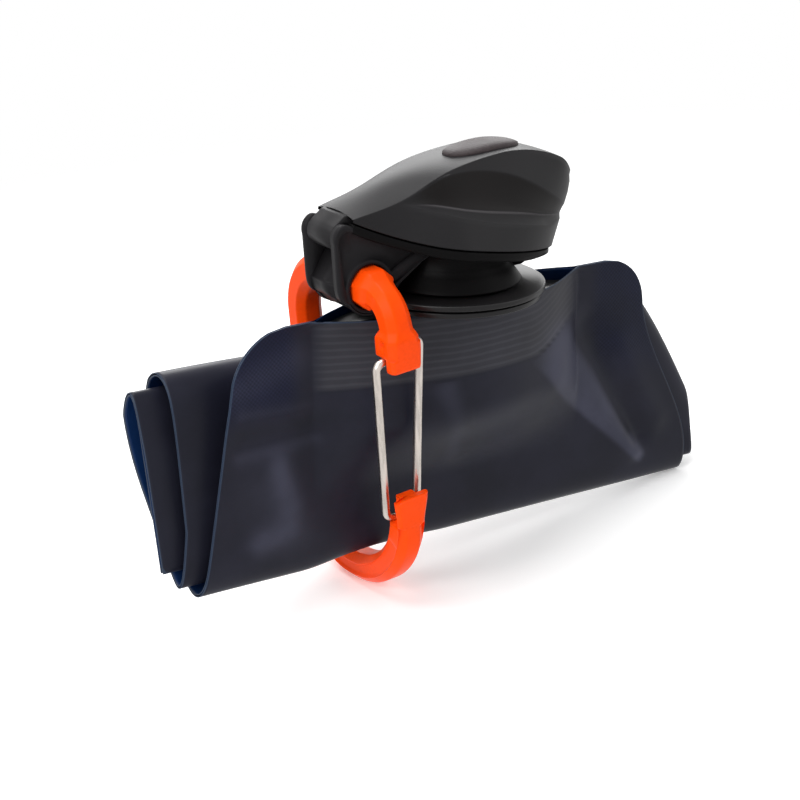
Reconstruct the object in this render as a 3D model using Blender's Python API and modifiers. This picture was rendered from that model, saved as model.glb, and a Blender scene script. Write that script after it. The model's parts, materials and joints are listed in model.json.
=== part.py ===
"""A collapsible water bottle, emptied, rolled up and held by a carabiner clipped through its cap.

The bottle is modelled upright about its spout: X runs along the roll, Y goes from its front panel
to its back, Z up the spout's axis, with the front panel's bottom fold at Z = 0. A parent empty then
leans it over, so that it stands on the carabiner's foot and on the roll's right end. All in metres.
"""

from math import asin, atan2, cos, hypot, pi, radians, sin, tan

import bmesh
import bpy
import numpy as np
from mathutils import Vector

# Clearances
SEAT_GAP = 0.0003
RUNNING_GAP = 0.0004

# Pouch: two welded films and a gusset, rolled from the bottom up towards the spout
FILM = 0.00025
FILM_GAP = 0.0003
PANEL_HEIGHT = 0.0623
SPOUT_DIP = 0.0009
OUTER_TURN_HEIGHT = 0.0506
INNER_TURN_HEIGHT = 0.0480
ROLL_DEPTH = 0.0194
LAYER_STEP = 0.0026
SHOULDER_RADIUS = 0.0122
SHOULDER_LEFT = 0.0570
SHOULDER_RIGHT = 0.0592
FOLD_LEFT = 0.0677
FOLD_RIGHT = 0.0760
FOLD_BOTTOM = -0.00014
TURN_LEFT = 0.0712
INSIDE_LEFT = 0.0700
REACH_LEFT = 0.0782
TAIL_LEFT = 0.0756
TAIL_RIGHT = 0.0806
END_SAG_START = 0.0605
END_SAG_LENGTH = 0.0295
END_SAG_FLOOR = 0.0030
END_DROOP = 0.0013
END_DROOP_START = 0.0180
END_DROOP_REACH = 0.0220
DEPTH_AT_LEFT = 0.0206
DEPTH_AT_CLIP = 0.0186
DEPTH_AT_SPOUT = 0.0238
DEPTH_AT_RIGHT = 0.0170
CLIP_PINCH = 0.86
CLIP_DENT = 0.0006
CLIP_DENT_HEIGHT = 0.024
GUSSET_LENGTH = 0.022

# Spout fitment: a ribbed boat welded between the films, with a flange and a neck
BOAT_HALF_LENGTH = 0.038
BOAT_HALF_THICKNESS = 0.0125
BOAT_BOTTOM = 0.0440
BOAT_RIB_DEPTH = 0.0004
BOAT_RIBS = 5
FLANGE_RADIUS = 0.0225
FLANGE_TOP = 0.0650
FLANGE_THICKNESS = 0.0014
COLLAR_RADIUS = 0.0216
COLLAR_THICKNESS = 0.0012
EDGE_GROOVE_DEPTH = 0.0016
EDGE_GROOVE_HEIGHT = 0.0006
NECK_RADIUS = 0.0132
NECK_TOP = 0.0690
BORE_RADIUS = 0.0105
GASKET_THICKNESS = 0.0010

# Cap: a skirt, a deck under the lid and a two-plate arm with the eye
SKIRT_RADIUS = 0.0168
SKIRT_TOP_RADIUS = 0.0100
SKIRT_LIFT = 0.0006
DECK_THICKNESS = 0.0022
DECK_RIB_HEIGHT = 0.0012
DECK_RIB_INSET = 0.0024
DECK_RIB_WIDTH = 0.0011
SEAM_GAP = 0.0004
POCKET_FLOOR = 0.0734
FLOW_RADIUS = 0.0042
ARM_HALF_WIDTH = 0.0074
ARM_SLOT_HALF_WIDTH = 0.0054
ARM_RECESS = 0.0008
ARM_RIM = 0.0016
EYE_X = -0.0270
EYE_Z = 0.0691
EYE_RADIUS = 0.00525
EYE_WALL = 0.0010
GUSSET_HALF_WIDTH = 0.0025

# Lid and what it carries
NOSE_X = 0.0286
NOSE_OVERHANG = 0.0071
NOSE_SEAM_Z = 0.0702
SEAM_SLOPE = 0.19
SEAM_CURL = 8.0
SEAM_CURL_X = -0.0120
APEX_X = -0.0315
APEX_HALF_WIDTH = 0.0075
WIDEST_X = -0.0060
LID_HALF_WIDTH = 0.0178
CROWN_Z = 0.0960
CROWN_X = 0.0110
CROWN_REAR_DROP = 0.0098
CROWN_FRONT_DROP = 0.0082
CREASE_HALF_WIDTH = 0.0090
CREASE_X = -0.0160
LID_WALL = 0.0016
SCOOP_DEPTH = 0.0016
HINGE_X = -0.0328
HINGE_Z = 0.0810
PIN_RADIUS = 0.0015
KNUCKLE_RADIUS = 0.0034
TONGUE_HALF_WIDTH = 0.0050
POST_RADIUS = 0.0058
NOZZLE_RADIUS = 0.0050
NOZZLE_BORE = 0.0029
NOZZLE_TOP = 0.0862
NOZZLE_BASE_RADIUS = 0.0076
NOZZLE_BASE_THICKNESS = 0.0016
PLUG_RADIUS = 0.0024
PLUG_REACH = 0.0022
PLUG_DISC_THICKNESS = 0.0014
STEM_RADIUS = 0.0016
STEM_LENGTH = 0.0038
PAD_REAR_X = -0.0030
PAD_FRONT_X = 0.0182
PAD_HALF_WIDTH = 0.0047
PAD_HEIGHT = 0.0015

# Carabiner, from the eye's centre: U across the ring's plane, V from front to back, W up
BAR_HALF = 0.0036
HINGE_END_HALF = 0.0041
NOSE_HALF = 0.0045
BAR_CHAMFER = 0.0020
BAR_GROOVE_DEPTH = 0.0009
BAR_GROOVE_HALF = 0.0014
RING_FRONT_TOP = 0.0170
RING_FRONT_NOSE = 0.0148
RING_BACK = 0.0238
RING_FOOT = 0.0794
TOP_FRONT_RADIUS = 0.0080
TOP_BACK_RADIUS = 0.0130
FOOT_BACK_RADIUS = 0.0120
FOOT_FRONT_RADIUS = 0.0250
HINGE_END_W = -0.0166
NOSE_ABOVE_FOOT = 0.0318
NOSE_NOTCH_LENGTH = 0.0088
NOSE_FLANGE = 0.0026
NOSE_WEB_HALF = 0.0022
NOSE_WEB_DEPTH = 0.0038
WIRE_RADIUS = 0.0010
WIRE_TOP_U = 0.0060
WIRE_FOOT_U = 0.0042
WIRE_BEND = 0.0014
SOCKET_LEFT_W = -0.0132
SOCKET_RIGHT_W = -0.0112
SOCKET_FLOOR_U = 0.0019
SOCKET_GAP = 0.0003
SOCKET_PLAY = 0.0005

# Facets
TURN_SIDES = 36
SMALL_SIDES = 20
ARC_STEPS = 7
LID_STATIONS = 20
FILM_STATIONS = 52
BOAT_COLUMNS = 11
SIDE_COLUMNS = 4

PARTS = "collapsible_bottle"
CUTTERS = "cutters"


def clear_scene():
    for obj in list(bpy.data.objects):
        bpy.data.objects.remove(obj, do_unlink=True)


def new_collection(name):
    made = bpy.data.collections.new(name)
    bpy.context.scene.collection.children.link(made)


def finish(name, colour, roughness, metallic=0.0):
    """A plain material with the piece's own colour, roughness and metallic value."""
    material = bpy.data.materials.new(name)
    material.use_nodes = True
    shader = material.node_tree.nodes["Principled BSDF"]
    shader.inputs["Base Color"].default_value = (*colour, 1.0)
    shader.inputs["Roughness"].default_value = roughness
    shader.inputs["Metallic"].default_value = metallic
    return material


def empty(name, parent=None, location=(0, 0, 0), lean=0.0):
    made = bpy.data.objects.new(name, None)
    made.location = location
    made.rotation_euler = (0, lean, 0)
    made.parent = parent
    bpy.context.scene.collection.objects.link(made)
    return made


def place(name, mesh, parent, material=None, origin=(0, 0, 0), smooth=35):
    """Links a mesh drawn in its parent's frame, with its origin moved to a point of that frame.

    Without a material it becomes a cutter or another helper, which no render shows.
    """
    for vertex in mesh.vertices:
        vertex.co -= Vector(origin)
    obj = bpy.data.objects.new(name, mesh)
    obj.location = origin
    obj.parent = parent
    if material:
        mesh.materials.append(material)
        mesh.shade_smooth()
        mesh.set_sharp_from_angle(angle=radians(smooth))
        bpy.data.collections[PARTS].objects.link(obj)
    else:
        obj.hide_render = True
        obj.display_type = "WIRE"
        bpy.data.collections[CUTTERS].objects.link(obj)
    return obj


def boolean(obj, other, operation="DIFFERENCE"):
    modifier = obj.modifiers.new(other.name, "BOOLEAN")
    modifier.operation = operation
    modifier.object = other
    modifier.solver = "EXACT"


def closed_mesh(name, points, faces):
    """A mesh whose doubled points are merged and whose faces point outwards."""
    mesh = bpy.data.meshes.new(name)
    mesh.from_pydata([tuple(p) for p in points], [], faces)
    work = bmesh.new()
    work.from_mesh(mesh)
    bmesh.ops.remove_doubles(work, verts=work.verts, dist=1e-6)
    bmesh.ops.recalc_face_normals(work, faces=work.faces)
    work.to_mesh(mesh)
    work.free()
    return mesh


def shell_between(name, outer, inner, open_end=False):
    """The closed solid between two grids of points of the same size.

    open_end leaves out the strip along the last row, where each grid folds onto itself.
    """
    rows, columns = outer.shape[:2]
    points = np.concatenate([outer.reshape(-1, 3), inner.reshape(-1, 3)])
    under = rows * columns
    faces = []
    for r in range(rows - 1):
        for c in range(columns - 1):
            a, b = r * columns + c, (r + 1) * columns + c
            faces.append((a, a + 1, b + 1, b))
            faces.append((under + a, under + b, under + b + 1, under + a + 1))
    first_row = [(c, c + 1) for c in range(columns - 1)]
    last_row = [((rows - 1) * columns + c + 1, (rows - 1) * columns + c) for c in range(columns - 1)]
    first_column = [((r + 1) * columns, r * columns) for r in range(rows - 1)]
    last_column = [((r + 1) * columns - 1, (r + 2) * columns - 1) for r in range(rows - 1)]
    border = first_row + first_column + last_column + ([] if open_end else last_row)
    faces += [(b, a, under + a, under + b) for a, b in border]
    return closed_mesh(name, points, faces)


def lofted(name, loops):
    """The closed solid through loops of equally many points, capped at both ends."""
    loops = np.asarray(loops)
    count, around = loops.shape[:2]
    faces = [
        (k * around + i, k * around + (i + 1) % around, (k + 1) * around + (i + 1) % around, (k + 1) * around + i)
        for k in range(count - 1)
        for i in range(around)
    ]
    faces.append(tuple(range(around)))
    faces.append(tuple((count - 1) * around + i for i in reversed(range(around))))
    return closed_mesh(name, loops.reshape(-1, 3), faces)


def prism(name, outline, low_y, high_y):
    """An outline in X and Z, extruded along Y."""
    return lofted(name, [[(x, y, z) for x, z in outline] for y in (low_y, high_y)])


def rod(name, radius, centre, low, high, axis="Z", top_radius=None, sides=SMALL_SIDES):
    """A cylinder or cone frustum along one axis, from low to high on it."""
    work = bmesh.new()
    bmesh.ops.create_cone(
        work,
        cap_ends=True,
        segments=sides,
        radius1=radius,
        radius2=radius if top_radius is None else top_radius,
        depth=high - low,
    )
    for vertex in work.verts:
        x, y, z = vertex.co
        along = z + (low + high) / 2
        if axis == "Z":
            vertex.co = Vector((x, y, along)) + Vector((centre[0], centre[1], 0))
        elif axis == "Y":
            vertex.co = Vector((x, along, -y)) + Vector((centre[0], 0, centre[1]))
        else:
            vertex.co = Vector((along, y, -x)) + Vector((0, centre[0], centre[1]))
    mesh = bpy.data.meshes.new(name)
    work.to_mesh(mesh)
    work.free()
    return mesh


def box(name, low, high):
    work = bmesh.new()
    bmesh.ops.create_cube(work, size=1)
    for vertex in work.verts:
        vertex.co = Vector([a if c < 0 else b for c, a, b in zip(vertex.co, low, high)])
    mesh = bpy.data.meshes.new(name)
    work.to_mesh(mesh)
    work.free()
    return mesh


def turned(name, profile, parent, material=None, closed=True, smooth=35):
    """A profile of (radius, height) points, running down its outer side, turned about Z."""
    mesh = bpy.data.meshes.new(name)
    count = len(profile)
    edges = [(i, (i + 1) % count) for i in range(count if closed else count - 1)]
    mesh.from_pydata([(r, 0, z) for r, z in profile], edges, [])
    obj = place(name, mesh, parent, material, smooth=smooth)
    screw = obj.modifiers.new("turn", "SCREW")
    screw.steps = TURN_SIDES
    screw.render_steps = TURN_SIDES
    screw.use_merge_vertices = True
    screw.merge_threshold = 0.00001
    screw.use_smooth_shade = True
    return obj


def smoothstep(value, low, high):
    s = np.clip((value - low) / (high - low), 0, 1)
    return s * s * (3 - 2 * s)


# The rolled pouch


def roll_controls():
    """Control points (depth behind the front panel, height) along the roll, from the top edge in.

    Down the front panel, round the bottom fold, up the back, over the outer turn and down, then
    round again inside it: up, over the inner turn and down to the bottle's folded base.
    """
    top, outer, inner = PANEL_HEIGHT, OUTER_TURN_HEIGHT, INNER_TURN_HEIGHT
    deep, step = ROLL_DEPTH, LAYER_STEP
    return [
        (0, top), (0, 0.74 * top), (0, 0.48 * top), (0, 0.22 * top),
        (0, 0.06 * top), (1.1 * step, -0.006 * top), (2.9 * step, 0.01 * outer), (4.05 * step, 0.155 * outer),
        (0.78 * deep, 0.36 * outer), (0.98 * deep, 0.6 * outer), (1.02 * deep, 0.84 * outer),
        (0.86 * deep, 1.01 * outer), (0.56 * deep, 1.05 * outer), (0.34 * deep, 0.96 * outer),
        (1.9 * step, 0.72 * outer), (1.45 * step, 0.42 * outer), (1.05 * step, 0.2 * outer),
        (1.05 * step, 0.08 * outer), (1.85 * step, 0.05 * outer), (2.6 * step, 0.13 * outer),
        (0.54 * deep, 0.38 * inner), (0.79 * deep, 0.62 * inner), (0.84 * deep, 0.86 * inner),
        (0.74 * deep, 1.02 * inner), (0.58 * deep, 1.02 * inner), (0.49 * deep, 0.86 * inner),
        (0.39 * deep, 0.58 * inner), (0.3 * deep, 0.34 * inner), (2.0 * step, 0.22 * inner),
    ]


def b_spline(controls, per_span):
    """Points on the uniform cubic B-spline that starts and ends at the first and last control."""
    points = np.array(controls, float)
    points = np.vstack([2 * points[0] - points[1], points, 2 * points[-1] - points[-2]])
    t = np.arange(per_span)[:, None] / per_span
    weights = np.hstack([(1 - t) ** 3, 3 * t**3 - 6 * t**2 + 4, -3 * t**3 + 3 * t**2 + 3 * t + 1, t**3]) / 6
    spans = [weights @ points[k : k + 4] for k in range(len(points) - 3)]
    return np.vstack(spans + [points[-2:-1]])


def roll_path():
    """Depth, height, distance along the film, and whether each station lies past the bottom fold.

    Stations come closer together where the film turns.
    """
    fine = b_spline(roll_controls(), 12)
    steps = np.diff(fine, axis=0)
    lengths = np.linalg.norm(steps, axis=1)
    heading = np.unwrap(np.arctan2(steps[:, 1], steps[:, 0]))
    turning = np.abs(np.diff(heading, append=heading[-1]))
    lengths_so_far = np.cumsum(lengths)
    corner = np.where(lengths_so_far < SHOULDER_RADIUS, 3, 1)
    effort = np.concatenate([[0], np.cumsum(corner * lengths / 0.0085 + turning / radians(36))])
    wanted = np.linspace(0, effort[-1], FILM_STATIONS)
    depth = np.interp(wanted, effort, fine[:, 0])
    height = np.interp(wanted, effort, fine[:, 1])
    along = np.interp(wanted, effort, np.concatenate([[0], lengths_so_far]))
    past_fold = along > along[: FILM_STATIONS // 2][np.argmin(height[: FILM_STATIONS // 2])]
    return depth, height, along, past_fold


def pouch_edges(along):
    """The film's left and right edges in X at each distance from the top edge: rounded shoulders,
    then sides that flare to the bottom fold and skew a little as the pouch is rolled."""
    share = along / along[-1]
    corner = np.clip(SHOULDER_RADIUS - along, 0, SHOULDER_RADIUS)
    inset = SHOULDER_RADIUS - np.sqrt(SHOULDER_RADIUS**2 - corner**2)
    fold = PANEL_HEIGHT / along[-1]
    turns = [0, fold, 1.9 * fold, 2.6 * fold, 3.5 * fold, 1]
    left = np.interp(share, turns, [SHOULDER_LEFT, FOLD_LEFT, TURN_LEFT, INSIDE_LEFT, REACH_LEFT, TAIL_LEFT])
    right = SHOULDER_RIGHT + (FOLD_RIGHT - SHOULDER_RIGHT) * smoothstep(share, 0.16 * fold, 0.92 * fold)
    right += (TAIL_RIGHT - FOLD_RIGHT) * smoothstep(share, fold, 2 * fold)
    return -left + inset, right - inset


def boat_bulge(x):
    """How far the fitment pushes each film out, at its widest height."""
    return BOAT_HALF_THICKNESS * np.clip(1 - (x / BOAT_HALF_LENGTH) ** 2, 0, None)


def clip_dent(x):
    """The roll's underside, raised a little where the carabiner's foot runs under it."""
    centre = EYE_X + (EYE_Z + CLIP_DENT) * tan(stance_lean())
    return CLIP_DENT * (1 - smoothstep(np.abs(x - centre), 2 * BAR_HALF, 6 * BAR_HALF))


def end_droop(x):
    """How far the roll's left end hangs below the rest."""
    return END_DROOP * smoothstep(-x, END_DROOP_START, END_DROOP_START + END_DROOP_REACH)


def roll_squeeze(x, high):
    """How much the roll's layers are squeezed together in depth, by the clip and by the fitment.

    high is 1 at the fitment's height and 0 near the bottom fold.
    """
    from_left = smoothstep(-x, 0.034, 0.066)
    from_clip = smoothstep(x, -0.021, -0.006)
    from_right = smoothstep(x, 0.020, 0.062)
    full = DEPTH_AT_CLIP + (DEPTH_AT_LEFT - DEPTH_AT_CLIP) * from_left
    full += (DEPTH_AT_SPOUT - DEPTH_AT_CLIP) * from_clip + (DEPTH_AT_RIGHT - DEPTH_AT_SPOUT) * from_right
    free = 0.96 + 0.08 * from_left - 0.10 * from_right
    low = free - (0.96 - CLIP_PINCH) * (1 - from_left) * (1 - from_clip)
    return low + ((full - boat_bulge(x)) / (1.02 * ROLL_DEPTH) - low) * high


def offset_normals(y, z):
    """At each point of each column's line, the way outwards, scaled so that offset sides stay parallel."""
    step_y, step_z = np.diff(y, axis=0), np.diff(z, axis=0)
    length = np.hypot(step_y, step_z)
    out_y, out_z = step_z / length, -step_y / length
    before_y, before_z = np.vstack([out_y[:1], out_y]), np.vstack([out_z[:1], out_z])
    after_y, after_z = np.vstack([out_y, out_y[-1:]]), np.vstack([out_z, out_z[-1:]])
    sum_y, sum_z = before_y + after_y, before_z + after_z
    scale = 2 / (sum_y**2 + sum_z**2)
    return sum_y * scale, sum_z * scale


def film_columns(along):
    """X of every point of a film: fixed columns over the fitment, then columns spread to each edge."""
    left, right = pouch_edges(along)
    middle = np.linspace(-BOAT_HALF_LENGTH, BOAT_HALF_LENGTH, BOAT_COLUMNS)
    share = np.arange(1, SIDE_COLUMNS + 1) / SIDE_COLUMNS
    to_left = middle[0] + (left[:, None] - middle[0]) * share[::-1]
    to_right = middle[-1] + (right[:, None] - middle[-1]) * share
    return np.hstack([to_left, np.tile(middle, (len(along), 1)), to_right])


def film_sections(side, offsets):
    """Grids of points for a film: its two faces lie at these distances outwards from the roll's line.

    side is -1 for the film on the roll's outside and 1 for the one inside it.
    """
    depth, height, along, past_fold = roll_path()
    x = film_columns(along)
    z = np.repeat(height[:, None], x.shape[1], axis=1)
    sag = 1 - np.clip((x - END_SAG_START) / END_SAG_LENGTH, 0, 1) ** 1.35
    drooped = END_SAG_FLOOR + (z - END_SAG_FLOOR) * sag
    z = np.where(past_fold[:, None] & (z > END_SAG_FLOOR), drooped, z)
    high = smoothstep(z, 0.36 * BOAT_BOTTOM, 0.86 * BOAT_BOTTOM)
    swell = boat_bulge(x) * high
    toward = np.where(past_fold[:, None], 1, side)
    y = depth[:, None] * roll_squeeze(x, high) + toward * swell
    z = z + clip_dent(x) * np.clip(1 - z / CLIP_DENT_HEIGHT, 0, 1)
    dip = SPOUT_DIP * (1 - smoothstep(np.abs(x), FLANGE_RADIUS, BOAT_HALF_LENGTH))
    z = z - np.where(past_fold[:, None], 0, dip * smoothstep(z, 0.6 * PANEL_HEIGHT, PANEL_HEIGHT))
    z = z - end_droop(x)
    out_y, out_z = offset_normals(y, z)
    grids = []
    for offset in offsets:
        reach = offset(along)[:, None] if callable(offset) else offset
        grids.append(np.stack([x, y + reach * out_y, z + reach * out_z], axis=2))
    return grids


def half_gap(along):
    """Half the space between the films, which widens near the base for the gusset."""
    start = along[-1] - 1.5 * GUSSET_LENGTH
    wide = FILM / 2 + FILM_GAP
    return FILM_GAP / 2 + (wide - FILM_GAP / 2) * smoothstep(along, start, start + 0.4 * GUSSET_LENGTH)


def make_films(stance):
    outer_skin = finish("outer_film", (0.022, 0.026, 0.036), 0.38)
    inner_skin = finish("inner_film", (0.010, 0.045, 0.150), 0.35)
    outside = film_sections(-1, [lambda a: half_gap(a) + FILM, half_gap])
    inside = film_sections(1, [lambda a: -half_gap(a), lambda a: -half_gap(a) - FILM])
    place("front_film", shell_between("front_film", *outside), stance, outer_skin, smooth=60)
    place("back_film", shell_between("back_film", *inside), stance, inner_skin, smooth=60)


def make_gusset(stance):
    """The folded base panel, flat between the films at the roll's inner end."""
    skin = finish("gusset_film", (0.012, 0.040, 0.120), 0.4)
    faces = film_sections(1, [FILM / 2, -FILM / 2])
    along = roll_path()[2]
    rows = along > along[-1] - GUSSET_LENGTH
    rows[-1] = False
    grids = [face[rows][:, 1:-1] for face in faces]
    place("bottom_gusset", shell_between("bottom_gusset", *grids), stance, skin, smooth=60)


# The spout fitment


def collar_bottom():
    return FLANGE_TOP - FLANGE_THICKNESS - EDGE_GROOVE_HEIGHT - COLLAR_THICKNESS


def boat_mesh():
    """A lens in plan, pointed at both ends, whose sides step in and out as weld ribs."""
    own_half = 0.97 * BOAT_HALF_LENGTH
    across = np.clip(np.linspace(-BOAT_HALF_LENGTH, BOAT_HALF_LENGTH, BOAT_COLUMNS), -own_half, own_half)
    top = collar_bottom() + SEAT_GAP
    pitch = (top - BOAT_BOTTOM) / (2 * BOAT_RIBS + 1)
    loops = []
    for k in range(2 * BOAT_RIBS + 1):
        sunk = BOAT_RIB_DEPTH if k % 2 else 0
        x = across * (1 - sunk / own_half)
        face = np.maximum(boat_bulge(across) + FILM_GAP / 2 - SEAT_GAP - sunk, SEAT_GAP)
        around_x = np.concatenate([x, x[::-1]])
        around_y = np.concatenate([-face, face[::-1]])
        for z in (BOAT_BOTTOM + k * pitch, BOAT_BOTTOM + (k + 1) * pitch):
            loops.append(np.column_stack([around_x, around_y, np.full(len(around_x), z)]))
    return lofted("boat", loops)


def make_fitment(stance):
    black = finish("fitment_black", (0.018, 0.018, 0.020), 0.45)
    groove_top = FLANGE_TOP - FLANGE_THICKNESS
    groove_low = groove_top - EDGE_GROOVE_HEIGHT
    groove_radius = COLLAR_RADIUS - EDGE_GROOVE_DEPTH
    profile = [
        (0, NECK_TOP), (NECK_RADIUS, NECK_TOP), (NECK_RADIUS, FLANGE_TOP), (0.96 * FLANGE_RADIUS, FLANGE_TOP),
        (FLANGE_RADIUS, FLANGE_TOP - 0.4 * FLANGE_THICKNESS), (FLANGE_RADIUS, groove_top),
        (groove_radius, groove_top), (groove_radius, groove_low), (COLLAR_RADIUS, groove_low),
        (COLLAR_RADIUS, collar_bottom()), (0, collar_bottom()),
    ]
    fitment = turned("spout_fitment", profile, stance, black, closed=False)
    boolean(fitment, place("boat", boat_mesh(), stance), "UNION")
    low, high = BOAT_BOTTOM - FLANGE_THICKNESS, NECK_TOP + FLANGE_THICKNESS
    bore = rod("spout_bore", BORE_RADIUS, (0, 0), low, high, sides=TURN_SIDES)
    boolean(fitment, place("spout_bore", bore, stance))


def make_gasket(stance):
    silicone = finish("gasket_silicone", (0.30, 0.31, 0.32), 0.6)
    low = NECK_TOP + SEAT_GAP
    high = low + GASKET_THICKNESS
    inner = BORE_RADIUS + SEAT_GAP
    profile = [(NECK_RADIUS, high), (NECK_RADIUS, low), (inner, low), (inner, high)]
    turned("neck_gasket", profile, stance, silicone)


# The lid's surface, which the deck under it and the pad on it follow


def seam_z(x):
    """Height of the joint between lid and deck: a gentle slope that curls up towards the hinge."""
    return NOSE_SEAM_Z + SEAM_SLOPE * (NOSE_X - x) + SEAM_CURL * np.clip(SEAM_CURL_X - x, 0, None) ** 2


def outline_half_width(x):
    """The lid's half width at the seam: blunt at the hinge, widest a third along, rounded nose."""
    front = np.clip((x - WIDEST_X) / (NOSE_X - WIDEST_X), 0, 1)
    rear = np.clip((WIDEST_X - x) / (WIDEST_X - APEX_X), 0, 1)
    nose = LID_HALF_WIDTH * (1 - front**2) ** 0.625
    return nose - (LID_HALF_WIDTH - APEX_HALF_WIDTH) * (1 - np.cos(pi * rear)) / 2


def crown_z(x):
    rear = np.clip((CROWN_X - x) / (CROWN_X - APEX_X), 0, 1.1)
    front = np.clip((x - CROWN_X) / (NOSE_X + NOSE_OVERHANG - CROWN_X), 0, 1)
    return CROWN_Z - CROWN_REAR_DROP * rear**1.6 - CROWN_FRONT_DROP * front**2


def crease_half_width(x):
    front = np.clip((x - CREASE_X) / (NOSE_X + NOSE_OVERHANG - CREASE_X), 0, 1)
    rear = np.clip((CREASE_X - x) / (CREASE_X - APEX_X), 0, 1)
    blunt = (1 - 0.32 * front) * np.sqrt(1 - front**10)
    return CREASE_HALF_WIDTH * blunt - (CREASE_HALF_WIDTH - APEX_HALF_WIDTH) * rear**1.6


def crease_drop(x):
    """How far the crease between top and side lies below the crown."""
    return (0.0004 + 0.0022 * np.exp(-(((x + 0.020) / 0.011) ** 2))) * crease_half_width(x) / CREASE_HALF_WIDTH


def outline_stations(inset=0.0, count=LID_STATIONS):
    """Seam stations of the outline set in by a wall, from the hinge end to the nose.

    They come closer together at the nose. The outline's normal is given with them.
    """
    fine = APEX_X + (NOSE_X - APEX_X) * np.sin(np.linspace(0, pi / 2, 600))
    half = outline_half_width(fine)
    slope = np.gradient(half, fine, edge_order=2)
    length = np.hypot(slope, 1)
    fine_x = fine + slope / length * inset
    fine_y = half - inset / length
    fine_y[-1] = min(fine_y[-1], 0)
    last = np.argmax(fine_y <= 0)
    ahead = fine_y[last - 1] / (fine_y[last - 1] - fine_y[last])
    end = fine_x[last - 1] + ahead * (fine_x[last] - fine_x[last - 1])
    x = fine_x[0] + (end - fine_x[0]) * np.sin(np.linspace(0, pi / 2, count))
    own_half = np.interp(x, fine_x[:last], fine_y[:last])
    own_half[-1] = 0
    own_slope = np.interp(x, fine_x[:last], slope[:last])
    length = np.hypot(own_slope, 1)
    return x, own_half, -own_slope / length, 1 / length


def lid_half(inset):
    """Rows of the lid's right half from seam to crown, at each station, set in by a wall."""
    x, half, normal_x, normal_y = outline_stations(inset)
    share = (x - x[0]) / (x[-1] - x[0])
    top_x = x + share * NOSE_OVERHANG
    side_top = crown_z(top_x) - crease_drop(top_x)
    crease = crease_half_width(top_x) * half / np.maximum(outline_half_width(x), 1e-6)
    opened = smoothstep(share, 0.2, 0.6)
    ledge = 0.95 - 0.70 * opened + 0.06 * smoothstep(share, 0.8, 1)
    floor = ledge + 0.02 + 0.13 * opened * (1 - 0.6 * smoothstep(share, 0.85, 1))
    brow = 0.99 - 0.14 * opened - 0.30 * smoothstep(share, 0.65, 1)
    depth = SCOOP_DEPTH * smoothstep(share, 0.2, 0.5) * (1 - share**10)
    levels = [(0 * share, 0), (ledge, 0), (floor, 1), ((floor + 2 * brow) / 3, 0.72), (brow, 0), (0 * share + 1, 0)]
    rows = []
    for level, dished in levels:
        belly = 0.045 * (side_top - seam_z(x)) * np.sin(pi * level) * (1 - share**6)
        inward = dished * depth - belly
        row_x = x + (top_x - x) * level - normal_x * inward
        row_y = half + (crease - half) * level - normal_y * inward * (1 - share**20)
        row_z = seam_z(x) + (side_top - seam_z(x)) * level - inset * smoothstep(level, 0.5, 1)
        row_z = np.maximum(row_z, seam_z(x) + SEAM_GAP * level)
        rows.append(np.column_stack([row_x, np.clip(row_y, 0, None), row_z]))
    last_x, last_y = rows[-1][:, 0], rows[-1][:, 1]
    for k in (1 / 3, 2 / 3, 1):
        row_z = crown_z(top_x) - crease_drop(top_x) * (1 - k) ** 2 - inset
        row_z = np.maximum(row_z, seam_z(x) + SEAM_GAP * (1 + k))
        rows.append(np.column_stack([last_x, last_y * (1 - k), row_z]))
    return np.stack(rows, axis=1)


def lid_surface(inset):
    half = lid_half(inset)
    half[-1, :, 1] = 0
    mirrored = half[:, -2::-1] * np.array([1, -1, 1])
    return np.concatenate([half, mirrored], axis=1)


def seam_slab(name, inset, low, high, start=0):
    """A plate with the lid's outline, set in from it, between two heights from the seam.

    A callable height is an absolute one.
    """
    x, half = outline_stations(inset)[:2]
    across = np.linspace(-1, 1, 7)
    grids = []
    for level in (high, low):
        z = np.full(len(x), level()) if callable(level) else seam_z(x) + level
        rows = [np.column_stack([x, half * q, z]) for q in across]
        grids.append(np.stack(rows, axis=1)[start:])
    return shell_between(name, *grids, open_end=True)


# The cap's base


def arm_outline(inset=0.0):
    """The arm from the side: apex, rounded hinge corner, rear edge, foot, and the slanted lower edge."""
    corner = KNUCKLE_RADIUS + 0.0001
    turn = [
        (HINGE_X + corner * cos(a), HINGE_Z + corner * sin(a)) for a in np.radians([104, 124, 144, 164, 184, 202])
    ]
    foot_z = FLANGE_TOP + SKIRT_LIFT
    outline = turn + [
        (EYE_X - 0.0081, EYE_Z), (EYE_X - 0.0072, foot_z + 0.0012), (EYE_X - 0.0056, foot_z),
        (EYE_X + 0.0050, foot_z), (EYE_X + 0.0085, EYE_Z - 0.0002), (-0.0105, seam_z(-0.0105) - DECK_THICKNESS),
    ]
    tops = (-0.0105, -0.0160, -0.0215, -0.0270, APEX_X + 0.0008)
    outline += [(x, seam_z(x) - SEAM_GAP - 0.2 * DECK_THICKNESS) for x in tops]
    if not inset:
        return outline
    centre = np.mean(outline, axis=0)
    shrunk = []
    for x, z in outline:
        away = np.array([x, z]) - centre
        shrunk.append(tuple(np.array([x, z]) - away / np.linalg.norm(away) * inset * 1.25))
    return shrunk


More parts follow.
